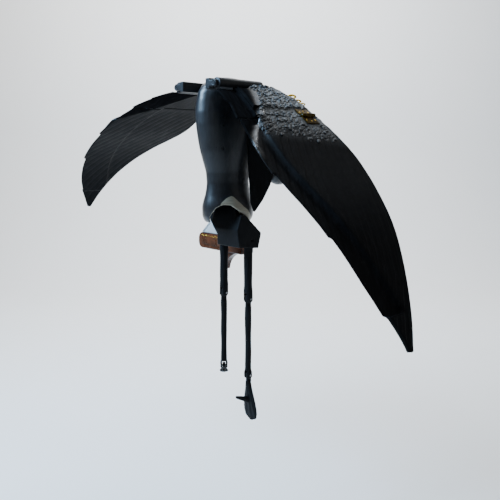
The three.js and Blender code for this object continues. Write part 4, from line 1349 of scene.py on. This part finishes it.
class BIRD_OT_stage(bpy.types.Operator):
    """Set up the floor, the soft lights and the camera"""

    bl_idname = "bird.stage"
    bl_label = "Floor, lights and camera"

    def execute(self, context):
        scene = context.scene
        roots = [Vector(JOINTS[f"shoulder_flap_{label}"]["pos_m"]) for label, _ in SIDES]
        aim = (roots[0] + roots[1]) / 2 + AIM_OFFSET
        towards = Vector((math.sin(VIEW_TURN), -math.cos(VIEW_TURN), 0))
        right = Vector((math.cos(VIEW_TURN), math.sin(VIEW_TURN), 0))
        self.backdrop(aim, towards, right, scene.bird_colours)
        axes = Matrix((right, towards, (0, 0, 1))).transposed()
        for name, place, target, size, power, tint in LIGHTS:
            self.light(name, aim + axes @ Vector(place), aim + axes @ Vector(target), size, power, tint)
        world = bpy.data.worlds.new("studio air")
        world.use_nodes = True
        background = world.node_tree.nodes["Background"]
        background.inputs["Color"].default_value = AIR
        background.inputs["Strength"].default_value = AIR_STRENGTH
        scene.world = world
        data = bpy.data.cameras.new("camera")
        data.lens = LENS
        data.sensor_width = SENSOR
        data.shift_x, data.shift_y = SHIFT
        camera = bpy.data.objects.new("camera", data)
        camera.location = aim + towards * CAMERA_AWAY
        camera.rotation_mode = "QUATERNION"
        camera.rotation_quaternion = (-towards).to_track_quat("-Z", "Y")
        scene.collection.objects.link(camera)
        scene.camera = camera
        return {"FINISHED"}

    def light(self, name, place, aim, size, power, tint):
        data = bpy.data.lights.new(name, "AREA")
        data.shape = "RECTANGLE"
        data.size, data.size_y = size
        data.energy = power
        data.color = tint
        lamp = bpy.data.objects.new(name, data)
        lamp.location = place
        lamp.rotation_mode = "QUATERNION"
        lamp.rotation_quaternion = (aim - place).to_track_quat("-Z", "Y")
        bpy.context.scene.collection.objects.link(lamp)

    def backdrop(self, aim, towards, right, colours):
        """A floor that curves up into a wall behind the bird."""
        bend_start = WALL_BEHIND - WALL_BEND
        profile = [(-8.0, 0.0), (-2.0, 0.0), (bend_start, 0.0)]
        for a in np.linspace(0.1, math.pi / 2, 14):
            profile.append((bend_start + WALL_BEND * math.sin(a), WALL_BEND * (1 - math.cos(a))))
        profile.append((WALL_BEHIND, WALL_HEIGHT))
        bm = bmesh.new()
        base = Vector((aim.x, aim.y, CAD_LOW.z - FLOOR_DROP))
        rows = []
        for away, z in profile:
            middle = base - towards * away + Vector((0, 0, z))
            rows.append([bm.verts.new(middle + right * s) for s in (-WALL_HALF, WALL_HALF)])
        for low, high in zip(rows, rows[1:]):
            bm.faces.new((low[0], low[1], high[1], high[0]))
        mesh = mesh_from(bm, "floor")
        mesh.shade_smooth()
        floor = put(mesh, "floor")
        mesh.materials.append(make_floor("pale_floor", tuple(colours.floor)))


class BIRD_PT_dummy(bpy.types.Panel):
    """The steps that make the bird"""

    bl_idname = "BIRD_PT_dummy"
    bl_label = "Bird dummy"
    bl_space_type = "VIEW_3D"
    bl_region_type = "UI"
    bl_category = "Bird dummy"

    def draw(self, context):
        for step in STEPS:
            self.layout.operator(step.bl_idname)
        for group in (context.scene.bird_colours, context.scene.bird_sizes):
            for name in group.__annotations__:
                self.layout.prop(group, name)


STEPS = (
    BIRD_OT_body,
    BIRD_OT_wings,
    BIRD_OT_feathers,
    BIRD_OT_legs,
    BIRD_OT_arm,
    BIRD_OT_fittings,
    BIRD_OT_stage,
)
CLASSES = (BirdColours, BirdSizes, *STEPS, BIRD_PT_dummy)


def register():
    for cls in CLASSES:
        bpy.utils.register_class(cls)
    bpy.types.Scene.bird_colours = PointerProperty(type=BirdColours)
    bpy.types.Scene.bird_sizes = PointerProperty(type=BirdSizes)


def unregister():
    del bpy.types.Scene.bird_sizes
    del bpy.types.Scene.bird_colours
    for cls in reversed(CLASSES):
        bpy.utils.unregister_class(cls)


def main():
    register()
    mix_finishes(bpy.context.scene.bird_colours)
    bpy.ops.bird.body()
    bpy.ops.bird.wings()
    bpy.ops.bird.feathers()
    bpy.ops.bird.legs()
    bpy.ops.bird.arm()
    bpy.ops.bird.fittings()
    bpy.ops.bird.stage()


if __name__ == "__main__":
    main()
